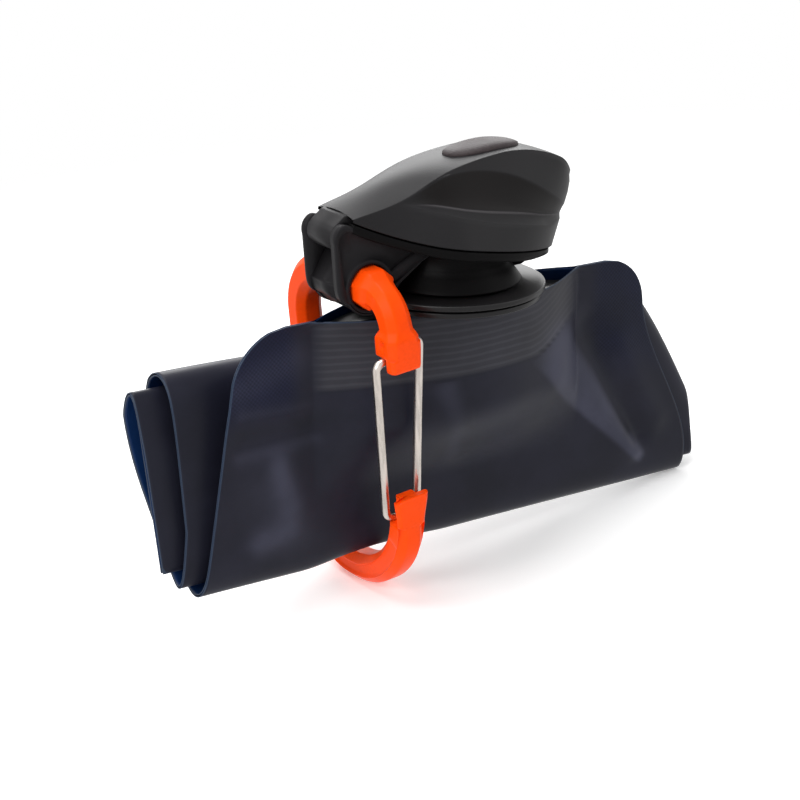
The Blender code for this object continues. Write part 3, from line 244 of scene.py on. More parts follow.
def mesh_piece(name, points, quads, masks=None, cut=None, merged=False):
    """An object from arrays of points and of four-cornered faces. masks give one value a point. cut is
    each point's place on the flat film, in metres, kept as the piece's own UV map. A merged mesh has
    its doubled points joined, which closes its poles, and its faces turned outwards."""
    mesh = bpy.data.meshes.new(name)
    mesh.vertices.add(len(points))
    mesh.vertices.foreach_set("co", np.asarray(points, np.float32).ravel())
    mesh.loops.add(quads.size)
    mesh.loops.foreach_set("vertex_index", quads.astype(np.int32).ravel())
    mesh.polygons.add(len(quads))
    mesh.polygons.foreach_set("loop_start", np.arange(0, quads.size, 4, dtype=np.int32))
    mesh.polygons.foreach_set("loop_total", np.full(len(quads), 4, np.int32))
    mesh.update(calc_edges=True)
    for mask, values in (masks or {}).items():
        layer = mesh.attributes.new(mask, "FLOAT", "POINT")
        layer.data.foreach_set("value", np.asarray(values, np.float32).ravel())
    if cut is not None:
        flat = mesh.uv_layers.new(name="cut")
        flat.data.foreach_set("uv", cut[quads.ravel()].astype(np.float32).ravel())
    if merged:
        work = bmesh.new()
        work.from_mesh(mesh)
        bmesh.ops.remove_doubles(work, verts=work.verts, dist=2e-6)
        bmesh.ops.recalc_face_normals(work, faces=work.faces)
        work.to_mesh(mesh)
        work.free()
    mesh.shade_smooth()
    piece = bpy.data.objects.new(name, mesh)
    scene.collection.objects.link(piece)
    return piece


def closed_sheet(name, outer, inner, masks, cut):
    """Two grids of points joined round their border into one closed sheet, outer face outwards."""
    rows, columns = outer.shape[:2]
    index = np.arange(rows * columns).reshape(rows, columns)
    top = np.stack([index[:-1, :-1], index[:-1, 1:], index[1:, 1:], index[1:, :-1]], axis=2).reshape(-1, 4)
    under = (top + rows * columns)[:, ::-1]
    ring = np.concatenate([index[0, :-1], index[:-1, -1], index[-1, :0:-1], index[:0:-1, 0]])
    after = np.roll(ring, -1)
    wall = np.stack([after, ring, ring + rows * columns, after + rows * columns], axis=1)
    points = np.concatenate([outer.reshape(-1, 3), inner.reshape(-1, 3)])
    twice = {mask: np.tile(np.ravel(values), 2) for mask, values in masks.items()}
    cut = np.tile(cut.reshape(-1, 2), (2, 1))
    return mesh_piece(name, points, np.concatenate([top, under, wall]), twice, cut)


def add_node(tree, kind, inputs=None, **settings):
    """A node with its settings, and each input either linked from a socket or set to a value."""
    node = tree.nodes.new(kind)
    for name, value in settings.items():
        setattr(node, name, value)
    for socket, value in (inputs or {}).items():
        if isinstance(value, bpy.types.NodeSocket):
            tree.links.new(value, node.inputs[socket])
        else:
            node.inputs[socket].default_value = value
    return node


def calc(tree, operation, *values):
    """One operation on numbers."""
    return add_node(tree, "ShaderNodeMath", dict(enumerate(values)), operation=operation).outputs[0]


def times(tree, first, second):
    """The product of two numbers."""
    return calc(tree, "MULTIPLY", first, second)


def plus(tree, first, second):
    """The sum of two numbers."""
    return calc(tree, "ADD", first, second)


def fade(tree, value, low, high, to_low=0.0, to_high=1.0):
    """A value carried smoothly from one range to another and held beyond it."""
    inputs = {"Value": value, "From Min": low, "From Max": high, "To Min": to_low, "To Max": to_high}
    return add_node(tree, "ShaderNodeMapRange", inputs, interpolation_type="SMOOTHSTEP").outputs[0]


def blended(tree, share, first, second, how="MIX"):
    """Two colours mixed by a share, through the colour sockets of a Mix node."""
    inputs = {0: share, 6: first, 7: second}
    return add_node(tree, "ShaderNodeMix", inputs, data_type="RGBA", blend_type=how).outputs[2]


def toned(tree, colour, tone):
    """A colour made lighter or darker by a factor."""
    return add_node(tree, "ShaderNodeVectorMath", {0: colour, "Scale": tone}, operation="SCALE").outputs[0]


def noise(tree, place, scale, detail=2.0):
    """Soft noise over a place."""
    inputs = {"Vector": place, "Scale": scale, "Detail": detail}
    return add_node(tree, "ShaderNodeTexNoise", inputs).outputs[0]


def stored(tree, mask):
    """A value that the piece keeps at each of its points."""
    return add_node(tree, "ShaderNodeAttribute", attribute_name=mask).outputs["Fac"]


def flat_place(tree):
    """The place on the flat film, before it was rolled."""
    return add_node(tree, "ShaderNodeUVMap", uv_map="cut").outputs[0]


def effect(name, inputs, outputs=("Color", "Roughness", "Height")):
    """An empty node group. An input with no value is a place, one with four values is a colour, and
    any other is a number, which every output but the colour is too."""
    group = bpy.data.node_groups.new(name, "ShaderNodeTree")
    for label, value in inputs.items():
        kind = "Vector" if value is None else "Color" if isinstance(value, tuple) else "Float"
        socket = group.interface.new_socket(label, in_out="INPUT", socket_type="NodeSocket" + kind)
        if value is not None:
            socket.default_value = value
    for label in outputs:
        kind = "Color" if label == "Color" else "Float"
        group.interface.new_socket(label, in_out="OUTPUT", socket_type="NodeSocket" + kind)
    return group, group.nodes.new("NodeGroupInput").outputs, group.nodes.new("NodeGroupOutput").inputs


def finish(name, roughness, metallic=0.0, specular=0.5):
    """A material and its Principled shader, with its plain values on the shader's own sockets."""
    material = bpy.data.materials.new(name)
    material.use_nodes = True
    shader = material.node_tree.nodes["Principled BSDF"]
    for socket, value in (("Roughness", roughness), ("Metallic", metallic), ("Specular IOR Level", specular)):
        shader.inputs[socket].default_value = value
    return material, material.node_tree, shader


def dressed(name, group, inputs, relief=None, **plain):
    """A material whose colour, roughness and fine relief come from an effect. An input is a value, or
    a function that gives a socket from the tree. The relief has a strength and a depth in metres."""
    material, tree, shader = finish(name, **plain)
    filled = {label: value(tree) if callable(value) else value for label, value in inputs.items()}
    made = add_node(tree, "ShaderNodeGroup", filled, node_tree=group)
    tree.links.new(made.outputs["Color"], shader.inputs["Base Color"])
    tree.links.new(made.outputs["Roughness"], shader.inputs["Roughness"])
    if relief:
        bump = {"Strength": relief[0], "Distance": relief[1], "Height": made.outputs["Height"]}
        tree.links.new(add_node(tree, "ShaderNodeBump", bump).outputs[0], shader.inputs["Normal"])
    return material


# Film: a fine woven print shows through the skin, and each cut edge shows the pale core.
WEAVE_PITCH, WELD_PITCH_MM = 0.00105, 1.75
film_skin, inside, out = effect(
    "film_skin", {"Place": None, "Edge": 9.0, "Skin": CHARCOAL, "Core": CUT_EDGE, "Weave": 0.5}
)
across = add_node(film_skin, "ShaderNodeSeparateXYZ", {0: inside["Place"]}).outputs
threads = [times(film_skin, across[way], 2 * math.pi / WEAVE_PITCH) for way in "XY"]
warp, weft = (calc(film_skin, "SINE", thread) for thread in threads)
dots = times(film_skin, times(film_skin, warp, weft), inside["Weave"])
cloudy = noise(film_skin, inside["Place"], 55.0, 3.0)
fine = noise(film_skin, inside["Place"], 900.0)
tone = plus(film_skin, fade(film_skin, cloudy, 0.3, 0.7, 0.84, 1.14), times(film_skin, dots, 0.22))
pale = fade(film_skin, inside["Edge"], 0.0, 0.3, 1.0, 0.0)
coloured = blended(film_skin, pale, toned(film_skin, inside["Skin"], tone), inside["Core"])
film_skin.links.new(coloured, out["Color"])
film_skin.links.new(fade(film_skin, cloudy, 0.3, 0.7, 0.33, 0.45), out["Roughness"])
film_skin.links.new(plus(film_skin, times(film_skin, dots, 0.6), times(film_skin, fine, 0.5)), out["Height"])


def film_finish(name, skin, weave, specular):
    """A film's material, with a colour and a strength of the woven print."""
    inputs = {"Place": flat_place, "Edge": lambda tree: stored(tree, "edge"), "Skin": skin, "Weave": weave}
    return dressed(name, film_skin, inputs, (0.35, 0.00008), roughness=0.38, specular=specular)


def outer_skin(tree):
    """Charcoal, bluer at the shoulders, and greyer with fine lines where the fitment is welded in. Painted
    light and shade are laid over it: a painted highlight where the value is positive, painted shade where it
    isn't."""
    painted_sheen_and_shade = stored(tree, "painted_sheen_and_shade")
    uneven = times(tree, noise(tree, flat_place(tree), 70.0, 3.0), 5.0)
    turns = times(tree, stored(tree, "weld_line"), 2 * math.pi / WELD_PITCH_MM)
    lines = fade(tree, calc(tree, "SINE", plus(tree, turns, uneven)), -0.2, 1.0, 0.0, 0.30)
    colour = blended(tree, stored(tree, "blue"), CHARCOAL, NAVY)
    grey = blended(tree, lines, (0.026, 0.026, 0.033, 1), (0.053, 0.053, 0.064, 1))
    colour = blended(tree, stored(tree, "weld"), colour, grey)
    light = blended(tree, fade(tree, painted_sheen_and_shade, 0, 1), (0, 0, 0, 1), (0.030, 0.031, 0.046, 1))
    colour = blended(tree, 1.0, colour, light, "ADD")
    return blended(tree, fade(tree, painted_sheen_and_shade, -1, 0, 0.62, 0.0), colour, (0.008, 0.009, 0.014, 1))


def shoulder_weave(tree):
    """The woven print shows only at the shoulders; elsewhere the film's skin is smooth."""
    return fade(tree, stored(tree, "blue"), 0.1, 0.9, 0.06, 1.1)


half_gap = FILM_GAP_MM / 2
along = roll_line()[2]
near_base = smooth(along, along[-1] - 1.5 * GUSSET_MM, along[-1] - 1.1 * GUSSET_MM)
half_gap = half_gap + (FILM_MM / 2 + FILM_GAP_MM - half_gap) * near_base
(outer_front, outer_back), s, x, edge = film_faces(-1, [half_gap + FILM_MM, half_gap])
(inner_front, inner_back), _, _, _ = film_faces(1, [-half_gap, -half_gap - FILM_MM])
place = np.stack([(x + CUT_LEFT_MM) / 1000, s / 1000], axis=2)

# Painted sheen and painted shade on the outer film, laid in its colour where its soft folds catch the light
# or
# fall into shade: first the plain ones, then the ridge, the fold beside the clip, the right shoulder, the
# left end and the weld's lower edge.
painted_sheen_and_shade = near_lines(x, s, [
    (0.28, (51, 25), (62, 42), (3.5, 3.5)), (0.55, (-47.5, 33), (-45, 43), (3.2, 3.6)),
    (0.4, (-58, 13), (-43, 8), (4.5, 5.5)), (0.5, (-53, 51), (-46, 49), (3.6, 3.6)),
    (0.3, (-58, 29), (-38, 28), (2.2, 2.2)), (0.25, (-57, 19), (-40, 20), (1.8, 1.8)),
    (-0.5, (-58, 24), (-30, 23), (2.2, 2.6)), (-0.6, (43, 20), (56, 46), (2.2, 2.2)),
    (-0.55, (62, 30), (72, 60), (8, 8)), (-0.25, (50, 12), (62, 20), (6, 6)),
    (0.30, (-52, 40), (-44, 52), (8, 8)), (-0.35, (-8, 30), (14, 56), (9, 7)),
    (-0.3, (12, 24), (44, 56), (5, 7)),
])
across_ridge = ((x - 19.9) * 33 - (s - 21.5) * 37.1) / 49.6
ridge_light = near_line(x, s, (30, 21), (60, 54), (10, 2.6)) * smooth(across_ridge, -1.2, 1.4)
painted_sheen_and_shade += 1.05 * ridge_light * (1 - smooth(x - 0.75 * (s - 20), 35, 45))
past_fold = smooth(x - 0.27 * (s - 20) + 4.2, -0.5, 0.6)
painted_sheen_and_shade += 0.6 * near_line(x, s, (-9, 20), (-1.5, 40), (4.0, 4.0)) * (1 - past_fold)
# Painted shade darkens the film at the right shoulder and at the left end.
painted_sheen_and_shade -= 0.5 * smooth(x, 34, 44) * (1 - smooth(s, 16, 28)) + 0.35 * smooth(-x, 58, 66) * smooth(s, 20, 34)
weld_line = s + 6.0 * smooth(x, 16, 38)
weld = (1 - smooth(weld_line, 16.4, 17.0)) * smooth(x, -39.5, -35.0) * (1 - smooth(x, 32.5, 38.5))
# A painted shade line along the weld's lower edge, where its groove lies in shade.
weld_groove_shade = np.exp(-(((weld_line - 17.0) / 0.4) ** 2)) * smooth(x, -38, -37) * (1 - smooth(x, 20, 34))
painted_sheen_and_shade -= 0.55 * weld_groove_shade
blue = np.maximum(smooth(-x, 40, 46) * (1 - smooth(s, 12, 26)), smooth(x, 41, 47) * (1 - smooth(s, 16, 36)))
outer_masks = {"edge": edge, "painted_sheen_and_shade": painted_sheen_and_shade, "weld": weld, "weld_line": weld_line, "blue": blue}
outer_film = closed_sheet("outer_film", leant(outer_front), leant(outer_back), outer_masks, place)
inner_film = closed_sheet("inner_film", leant(inner_front), leant(inner_back), {"edge": edge}, place)
outer_film.data.materials.append(film_finish("outer_film", outer_skin, shoulder_weave, 0.12))
inner_film.data.materials.append(film_finish("inner_film", DEEP_BLUE, 0.15, 0.14))

# The folded base panel, a narrower film that lies flat between the two at the roll's inner end.
(gusset_front, gusset_back), _, _, _ = film_faces(1, [FILM_MM / 2, -FILM_MM / 2])
kept = np.s_[np.argmax(along > along[-1] - GUSSET_MM) : -2, 8:-8]
gusset_faces = leant(gusset_front[kept]), leant(gusset_back[kept])
gusset = closed_sheet("base_gusset", *gusset_faces, {"edge": edge[kept] + 1}, place[kept])
gusset.data.materials.append(film_finish("gusset_film", GUSSET_BLUE, 0.1, 0.2))

for film, node in ((outer_film, "front_film"), (inner_film, "back_film"), (gusset, "bottom_gusset")):
    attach(film, "pouch")
    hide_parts(node)
widths = (x[:, -1] - x[:, 0]) / 1000
width, area = float(widths.max()), float(((widths[1:] + widths[:-1]) / 2 * np.diff(along)).sum()) / 1000


# The spout fitment, one black moulding: a ribbed boat welded between the films, a collar, a groove,
# a flange that the cap's skirt sits over, and the neck. The lathe part is turned, the boat lofted.
FLANGE_RADIUS, FLANGE_TOP, NECK_TOP, NECK_RADIUS, BORE_RADIUS = 22.5, 65.0, 69.0, 12.0, 10.5
BOAT_TALL, BOAT_REACH, RIB_COUNT, RIB_DEEP = 15.0, 36.9, 5.5, 0.4
ROUND, BOAT_ROUND, BOAT_ROWS = 144, 160, 80


def joined_grid(grid, rows_close=False):
    """The quads over a grid of points whose columns close on themselves, and whose rows may too."""
    rows, columns = grid.shape[:2]
    index = np.arange(rows * columns).reshape(rows, columns)
    here = index if rows_close else index[:-1]
    down = np.roll(index, -1, axis=0) if rows_close else index[1:]
    return np.stack([here, np.roll(here, -1, axis=1), np.roll(down, -1, axis=1), down], axis=2).reshape(-1, 4)


def moulded(name, grids, placed=leant, masks=None):
    """One piece from several closed grids, each a pair of points and whether its rows close. Points are
    in millimetres, and placed takes them to metres."""
    points, quads, start = [], [], 0
    for grid, rows_close in grids:
        quads.append(joined_grid(grid, rows_close) + start)
        points.append(grid.reshape(-1, 3))
        start += len(points[-1])
    return mesh_piece(name, placed(np.concatenate(points)), np.concatenate(quads), masks, merged=True)


def lathed(profile, sides=ROUND):
    """A profile of radius and height carried round the upright axis: x is radius times cosine of the
    turn, y radius times sine. Points of the profile may stand twice for a crisp edge."""
    radius, height = np.asarray(profile, float).T[:, :, None]
    turn = np.linspace(0, 2 * math.pi, sides, endpoint=False)
    return np.stack(np.broadcast_arrays(radius * np.cos(turn), radius * np.sin(turn), height), axis=2)


def eased(corners, ease, closed=False, steps=5):
    """A line through corners, each rounded by a quadratic curve that starts and ends the given
    distance from it, or half way to its neighbour where that is nearer. Several lines may be stacked."""
    corners = np.asarray(corners, float)
    reach = np.broadcast_to(np.asarray(ease, float).reshape(-1, 1), (corners.shape[-2], 1))
    ends = []
    for way in (1, -1):
        to_next = np.roll(corners, way, axis=-2) - corners
        length = np.linalg.norm(to_next, axis=-1, keepdims=True)
        ends.append(corners + to_next / length * np.minimum(reach, 0.5 * length))
    t = np.linspace(0, 1, steps)[:, None]
    start, corner, end = (p[..., None, :] for p in (ends[0], corners, ends[1]))
    curve = start * (1 - t) ** 2 + corner * 2 * t * (1 - t) + end * t**2
    if not closed:
        curve[..., 0, :, :], curve[..., -1, :, :] = corners[..., :1, :], corners[..., -1:, :]
    return curve.reshape(*corners.shape[:-2], -1, corners.shape[-1])


# Moulded plastic: fine spark-eroded grain, with the slow mottling and rubbed spots of a used moulding.
GRAIN_DEPTH = 0.0002
grain, inside, out = effect(
    "moulded_grain",
    {"Place": None, "Colour": (0.02, 0.02, 0.02, 1), "Fineness": 2600.0, "Mottling": 0.12, "Roughness": 0.5},
)
pits = noise(grain, inside["Place"], inside["Fineness"])
broad = noise(grain, inside["Place"], 70.0, 4.0)
sway = times(grain, plus(grain, broad, -0.5), inside["Mottling"])
speck = times(grain, plus(grain, pits, -0.5), times(grain, inside["Mottling"], 1.5))
tone = plus(grain, 1.0, plus(grain, times(grain, sway, 2.0), speck))
grain.links.new(toned(grain, inside["Colour"], tone), out["Color"])
grain.links.new(plus(grain, inside["Roughness"], times(grain, sway, 0.8)), out["Roughness"])
grain.links.new(pits, out["Height"])


def own_place(tree):
    """The place on the piece itself, which moves with it."""
    return add_node(tree, "ShaderNodeTexCoord").outputs["Object"]


def moulded_finish(name, colour, roughness, fineness=2600.0, mottling=0.12, bump=0.12, specular=0.5):
    """Moulded plastic or rubber, whose colour may be a function that gives a socket from the tree."""
    inputs = {"Place": own_place, "Colour": colour, "Fineness": fineness, "Mottling": mottling}
    inputs["Roughness"] = roughness
    return dressed(name, grain, inputs, (bump, GRAIN_DEPTH), roughness=roughness, specular=specular)


neck_profile = eased(
    [
        (BORE_RADIUS, BOAT_BOTTOM - 0.2), (BORE_RADIUS, NECK_TOP), (NECK_RADIUS, NECK_TOP),
        (NECK_RADIUS, FLANGE_TOP), (FLANGE_RADIUS, FLANGE_TOP - 0.1), (FLANGE_RADIUS, 63.6),
        (20.0, 63.5), (20.0, 63.0), (21.6, 63.0), (21.6, 61.7), (12.6, 61.7), (12.6, BOAT_BOTTOM - 0.2),
    ],
    0.35, closed=True,
)
up_boat = np.linspace(0, 1, BOAT_ROWS)[:, None]
rib = RIB_DEEP / 2 * (np.sign(np.sin(up_boat * RIB_COUNT * 2 * math.pi + 0.2)) - 1)
round_boat = np.linspace(0, 2 * math.pi, BOAT_ROUND, endpoint=False)
boat_x = BOAT_REACH * np.cos(round_boat)
side = np.sign(np.sin(round_boat) + 1e-9)
boat_y = side * np.maximum(boat_bulge(boat_x) - 0.25, 0.12)
ribbed_y = boat_y + side * rib * (np.abs(boat_y) > 1)
boat = np.stack(np.broadcast_arrays(boat_x, ribbed_y, BOAT_BOTTOM + BOAT_TALL * up_boat), axis=2)
mouth = lathed([(BORE_RADIUS + 0.02, BOAT_BOTTOM)], BOAT_ROUND)
boat = np.concatenate([mouth, boat, mouth + [0, 0, BOAT_TALL]])
fitment = moulded("fitment_moulding", [(lathed(neck_profile), True), (boat, True)])
fitment_black = moulded_finish("fitment_black", (0.007, 0.0065, 0.007, 1), 0.34, bump=0.05, specular=0.25)
fitment.data.materials.append(fitment_black)
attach(fitment, "pouch")
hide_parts("spout_fitment")


# The cap's base, one charcoal moulding: a flared skirt over the neck, a leaf-shaped deck under the lid,
# and an arm of two plates that carry the lid's pin and the eye for the carabiner. The deck and skirt
# are one profile carried round the spout, and the arm is three plates round the eye.
NOSE_X, NOSE_SEAM_Z, APEX_X, WIDEST_X, LID_HALF_WIDTH, APEX_HALF_WIDTH = 28.6, 70.2, -31.5, -6.0, 17.8, 7.5
SEAM_GAP, DECK_MM, DECK_HOLE, SOCKET_RADIUS, NOZZLE_HOLE = 0.4, 2.2, 7.95, 12.45, 4.2
HINGE_MM = np.array([-32.8, 81.0])
EYE_RADIUS, EYE_WALL = 5.25, 1.1
ARM_HALF, SLOT_HALF, RECESS, RIM, ARM_POINTS = 7.4, 5.4, 0.9, 1.6, 300
SKIRT = np.array([(12.8, 74.0), (13.4, 71.0), (14.1, 69.5), (15.2, 68.0), (16.3, 66.5), (16.8, 65.75)])


def seam_z(x):
    """Height of the joint between lid and deck: a gentle slope that curls up towards the hinge."""
    return NOSE_SEAM_Z + 0.19 * (NOSE_X - x) + 0.008 * np.clip(-12 - x, 0, None) ** 2


def leaf_half_width(x):
    """The deck's and the lid's half width: blunt at the hinge, widest a third along, rounded nose."""
    front = np.clip((x - WIDEST_X) / (NOSE_X - WIDEST_X), 0, 1)
    rear = np.clip((WIDEST_X - x) / (WIDEST_X - APEX_X), 0, 1)
    nose = LID_HALF_WIDTH * (1 - front**2) ** 0.625
    return nose - (LID_HALF_WIDTH - APEX_HALF_WIDTH) * (1 - np.cos(math.pi * rear)) / 2


def cut_again(line, wanted, places):
    """A line in a plane cut at the wanted places, where its own points lie at the given ones."""
    return np.column_stack([np.interp(wanted, places, line[:, k]) for k in (0, 1)])


def evened(outline, count):
    """A closed outline cut again at even steps of length."""
    line = np.vstack([outline, outline[:1]])
    length = np.concatenate([[0], np.cumsum(np.linalg.norm(np.diff(line, axis=0), axis=1))])
    return cut_again(line, np.linspace(0, length[-1], count, endpoint=False), length)


def on_circle(centre, radius, degrees):
    """Points on a circle in a plane, at some angles."""
    angle = np.radians(degrees)
    return centre + radius * np.column_stack([np.cos(angle), np.sin(angle)])


def round_plate(centre, outline, profile):
    """A closed ring about an axis from front to back: each entry of the profile gives a distance from
    the axis along the line to every point of the outline, and a depth, and lies at the centre plus
    that distance times the line's direction."""
    away = outline - centre
    far = np.linalg.norm(away, axis=1)
    x, z = (away / far[:, None]).T
    rows = [(centre[0] + x * reach, depth + 0 * far, centre[1] + z * reach) for reach, depth in profile(far)]
    return np.stack([np.column_stack(row) for row in rows])


leaf_x = NOSE_X - (NOSE_X - APEX_X) * (1 - np.cos(np.linspace(0, math.pi, 400))) / 2
leaf_side = np.column_stack([leaf_x, leaf_half_width(leaf_x)])
leaf = evened(np.concatenate([leaf_side, leaf_side[::-1] * [1, -1]]), ROUND)
leaf_angle = np.arctan2(leaf[:, 1], leaf[:, 0])
leaf_radius = np.linalg.norm(leaf, axis=1)
around = np.stack([np.cos(leaf_angle), np.sin(leaf_angle)])


def turned_row(reach, height):
    """One turn round the spout, on the lines to the leaf's points, at a distance and a height."""
    return np.column_stack([*(around * reach), np.broadcast_to(height, ROUND)])


thick = DECK_MM - 1.1 * smooth(leaf[:, 0], 8, 25)
rim = leaf_radius - 1.1 * smooth(leaf[:, 0], 20, 28)
deck_profile = [
    (DECK_HOLE, 0), (rim - 3.2, 0), (rim - 0.35, 0), (rim - 0.1, -0.1), (rim, -0.35), (rim, 0.25 - thick),
    (rim - 0.2, 0.08 - thick), (rim - 0.7, -thick), (rim - 2.5, -0.1 - thick), (13.2, -DECK_MM - 0.3),
]
socket_profile = [
    (16.6, 65.6), (15.9, 65.6), (SOCKET_RADIUS, 65.9), (SOCKET_RADIUS, 70.6),
    (NOZZLE_HOLE, 70.6), (NOZZLE_HOLE, 73.4), (DECK_HOLE, 73.4),
]
skirt = cut_again(SKIRT, np.linspace(0, 5, 16), range(6))
deck_rows = [turned_row(reach, seam_z(around[0] * reach) - SEAM_GAP + drop) for reach, drop in deck_profile]
deck = np.stack(deck_rows + [turned_row(*point) for point in [*skirt[1:], *socket_profile]])

# The rib on the deck's edge stands up into the lid, and stays below the deck behind the hinge.
rib_rows = []
for inset, lift in ((2.5, -0.9), (2.5, 0.9), (2.65, 1.1), (3.3, 1.1), (3.45, 0.9), (3.45, -0.9)):
    rib_line = leaf * (1 - inset / leaf_radius)[:, None]
    lifted = np.where(rib_line[:, 0] > -24, lift, -0.9 + 0.02 * lift)
    rib_rows.append(np.column_stack([rib_line, seam_z(rib_line[:, 0]) + lifted]))
deck_rib = np.stack(rib_rows)

rear_corner = on_circle(HINGE_MM, 3.5, [104, 124, 144, 164, 184, 202])
under_arm = [(-35.3, 69.1), (-34.6, 66.9), (-32.8, 65.6), (-22.0, 65.6), (-18.5, 68.9)]
below_deck = [(-9.5, seam_z(-9.5) - DECK_MM)]
below_deck += [(x, seam_z(x) - SEAM_GAP - 0.2 * DECK_MM) for x in (-10.5, -16.0, -21.5, -27.0, -30.7)]
arm_corners = np.vstack([rear_corner, under_arm, below_deck])
arm = evened(eased(arm_corners, [0.6] * 6 + [1.6] * 5 + [0.3] * 6, closed=True), ARM_POINTS)
eye = EYE_MM[[0, 2]]
tube = EYE_RADIUS + EYE_WALL


def side_plate(side):
    """One of the arm's plates: flat inside, and outside a rim, a sunk panel and the eye's raised boss."""
    outer, inner = side * ARM_HALF, side * (SLOT_HALF - 0.15)

    def profile(far):
        """From the eye out along the inner face, and back over rim, panel and boss."""
        edge = np.maximum(far, tube + 0.15)
        panel = np.maximum(edge - RIM, tube + 0.12)
        sunk = outer - side * RECESS * smooth(panel - tube, 0.1, 0.9)
        return [
            (EYE_RADIUS, inner), (edge, inner),
            (edge, outer - side * 0.45), (edge - 0.12, outer - side * 0.13), (edge - 0.45, outer),
            (panel + 0.12, outer), (panel, outer - side * 0.1 * RECESS), (panel - 0.1, sunk),
            (tube + 0.1, sunk), (tube, outer - side * 0.15), (tube - 0.15, outer),
            (EYE_RADIUS + 0.35, outer), (EYE_RADIUS + 0.1, outer - side * 0.1),
            (EYE_RADIUS, outer - side * 0.35),
        ]

    return round_plate(eye, arm, profile)


def core_reach(angle):
    """How far the hollow behind the lid's hinge lies from the eye, at each angle round it, and a
    distance past everything where it doesn't."""
    past_all = 99
    hollow = np.array([(-40.0, 70.1), (-34.6, 70.1), (-30.6, 76.8), (-29.4, 79.2), (-29.4, 90.0)])
    fine = cut_again(hollow, np.linspace(0, 4, 400), range(5)) - eye
    bearing = np.unwrap(np.arctan2(fine[:, 1], fine[:, 0]))[::-1]
    positive = np.where(angle < 0, angle + 2 * math.pi, angle)
    limit = np.interp(positive, bearing, np.linalg.norm(fine, axis=1)[::-1], left=past_all, right=past_all)
    return np.where(positive > bearing[-1] + 0.2, past_all, limit)


def core_profile(far):
    """The solid between the plates: from the eye to the arm's edge, but no further than the hollow,
    and never less than the eye's own wall."""
    hollow = core_reach(np.arctan2(arm[:, 1] - eye[1], arm[:, 0] - eye[0]))
    edge = np.maximum(np.minimum(far - 0.25, hollow), tube - 0.05)
    bore = EYE_RADIUS + 0.02
    return [(bore, -SLOT_HALF), (edge, -SLOT_HALF), (edge, SLOT_HALF), (bore, SLOT_HALF)]


def slab(corners, low_y, high_y, ease=0.3, blunt=0.25, count=120):
    """An outline in x and z, its corners eased, extruded from low_y to high_y with softened rims: rows
    of the outline drawn in towards its middle at both faces."""
    line = evened(eased(corners, ease, closed=True), count)
    middle = line.mean(axis=0)
    away = line - middle
    far = np.linalg.norm(away, axis=1)[:, None]
    ends = [(far, low_y), (blunt, low_y), (0, low_y + blunt)]
    ends += [(0, high_y - blunt), (blunt, high_y), (far, high_y)]
    rows = []
    for inset, y in ends:
        x, z = (middle + away * (1 - inset / far)).T
        rows.append(np.column_stack([x, np.full(count, y), z]))
    return np.stack(rows)


brace_top = seam_z(24.6) - SEAM_GAP - 0.6 * DECK_MM
diagonal = [(-20.4, 69.3), (-9.4, 74.4), (-12.6, 76.4), (-22.2, 71.3)]
diagonals = [(slab(diagonal, *y, ease=0.5), False) for y in ((-7.25, -5.8), (5.8, 7.25))]
brace = slab([(14.0, 66.2), (19.3, 66.3), (25.4, brace_top), (12.0, brace_top + 2.0)], -2.5, 2.5)
core = round_plate(eye, arm, core_profile)
arm_parts = [(side_plate(-1), True), (side_plate(1), True), (core, True), *diagonals]
under_lid = [(deck, True), (deck_rib, True), (brace, False)]
counts = [sum(grid[..., 0].size for grid, _ in parts) for parts in (arm_parts, under_lid)]
# The arm's points are marked to be painted lighter, and the deck's and skirt's to be painted in shade.
on_arm = np.repeat([1.0, 0.0], counts)
cap = moulded("cap_moulding", arm_parts + under_lid, masks={"on_arm": on_arm})


def cap_colour(tree):
    """Painted light and shade: the arm a lighter grey, as where it catches the light, and the deck and skirt
    under the lid darker, painted shade.
    """
    return blended(tree, stored(tree, "on_arm"), (0.0042, 0.0040, 0.0042, 1), (0.0150, 0.0143, 0.0156, 1))


cap.data.materials.append(moulded_finish("cap_black", cap_colour, 0.38, 2600.0, 0.1, 0.08, 0.04))
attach(cap, "cap")
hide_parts("cap_base")


# The lid, one charcoal moulding with a scooped-out flank each side and a ledge below it. Its tongue
# goes down between the arm's plates and turns on the steel pin, and a post inside holds the plug.
NOSE_OVERHANG, CROWN_X, CROWN_Z, LID_WALL = 7.1, 11.0, 96.0, 1.6
CREASE_X, CREASE_HALF_WIDTH, LID_STATIONS = -16.0, 9.0, 110
SCOOP_START, SCOOP_DEEP, LEDGE_LOW, LEDGE_HIGH = -20.4, 2.2, 0.24, 0.355
TONGUE_HALF, TONGUE_BORE, KNUCKLE_RADIUS, POST_RADIUS, POST_BORE = 5.0, 1.8, 3.4, 5.8, 1.9


def crown_z(x):
    """Height of the lid's middle line: a long rise from the hinge and a shorter fall to the nose."""
    rear = np.clip((CROWN_X - x) / (CROWN_X - APEX_X), 0, 1.1)
    front = np.clip((x - CROWN_X) / (NOSE_X + NOSE_OVERHANG - CROWN_X), 0, 1)
    return CROWN_Z - 9.8 * rear**1.6 - 8.2 * front**2 + 0.7 * np.exp(-(((x + 14) / 11) ** 2))


def crease_half_width(x):
    """Half width of the lid's top, out to the crease above its flank."""
    front = np.clip((x - CREASE_X) / (NOSE_X + NOSE_OVERHANG - CREASE_X), 0, 1)
    rear = np.clip((CREASE_X - x) / (CREASE_X - APEX_X), 0, 1)
    blunt = (1 - 0.32 * front) * np.sqrt(1 - front**10)
    return CREASE_HALF_WIDTH * blunt - (CREASE_HALF_WIDTH - APEX_HALF_WIDTH) * rear**1.6


def crease_drop(x):
    """How far the crease between top and flank lies below the crown."""
    return (0.4 + 2.2 * np.exp(-(((x + 20) / 11) ** 2))) * crease_half_width(x) / CREASE_HALF_WIDTH


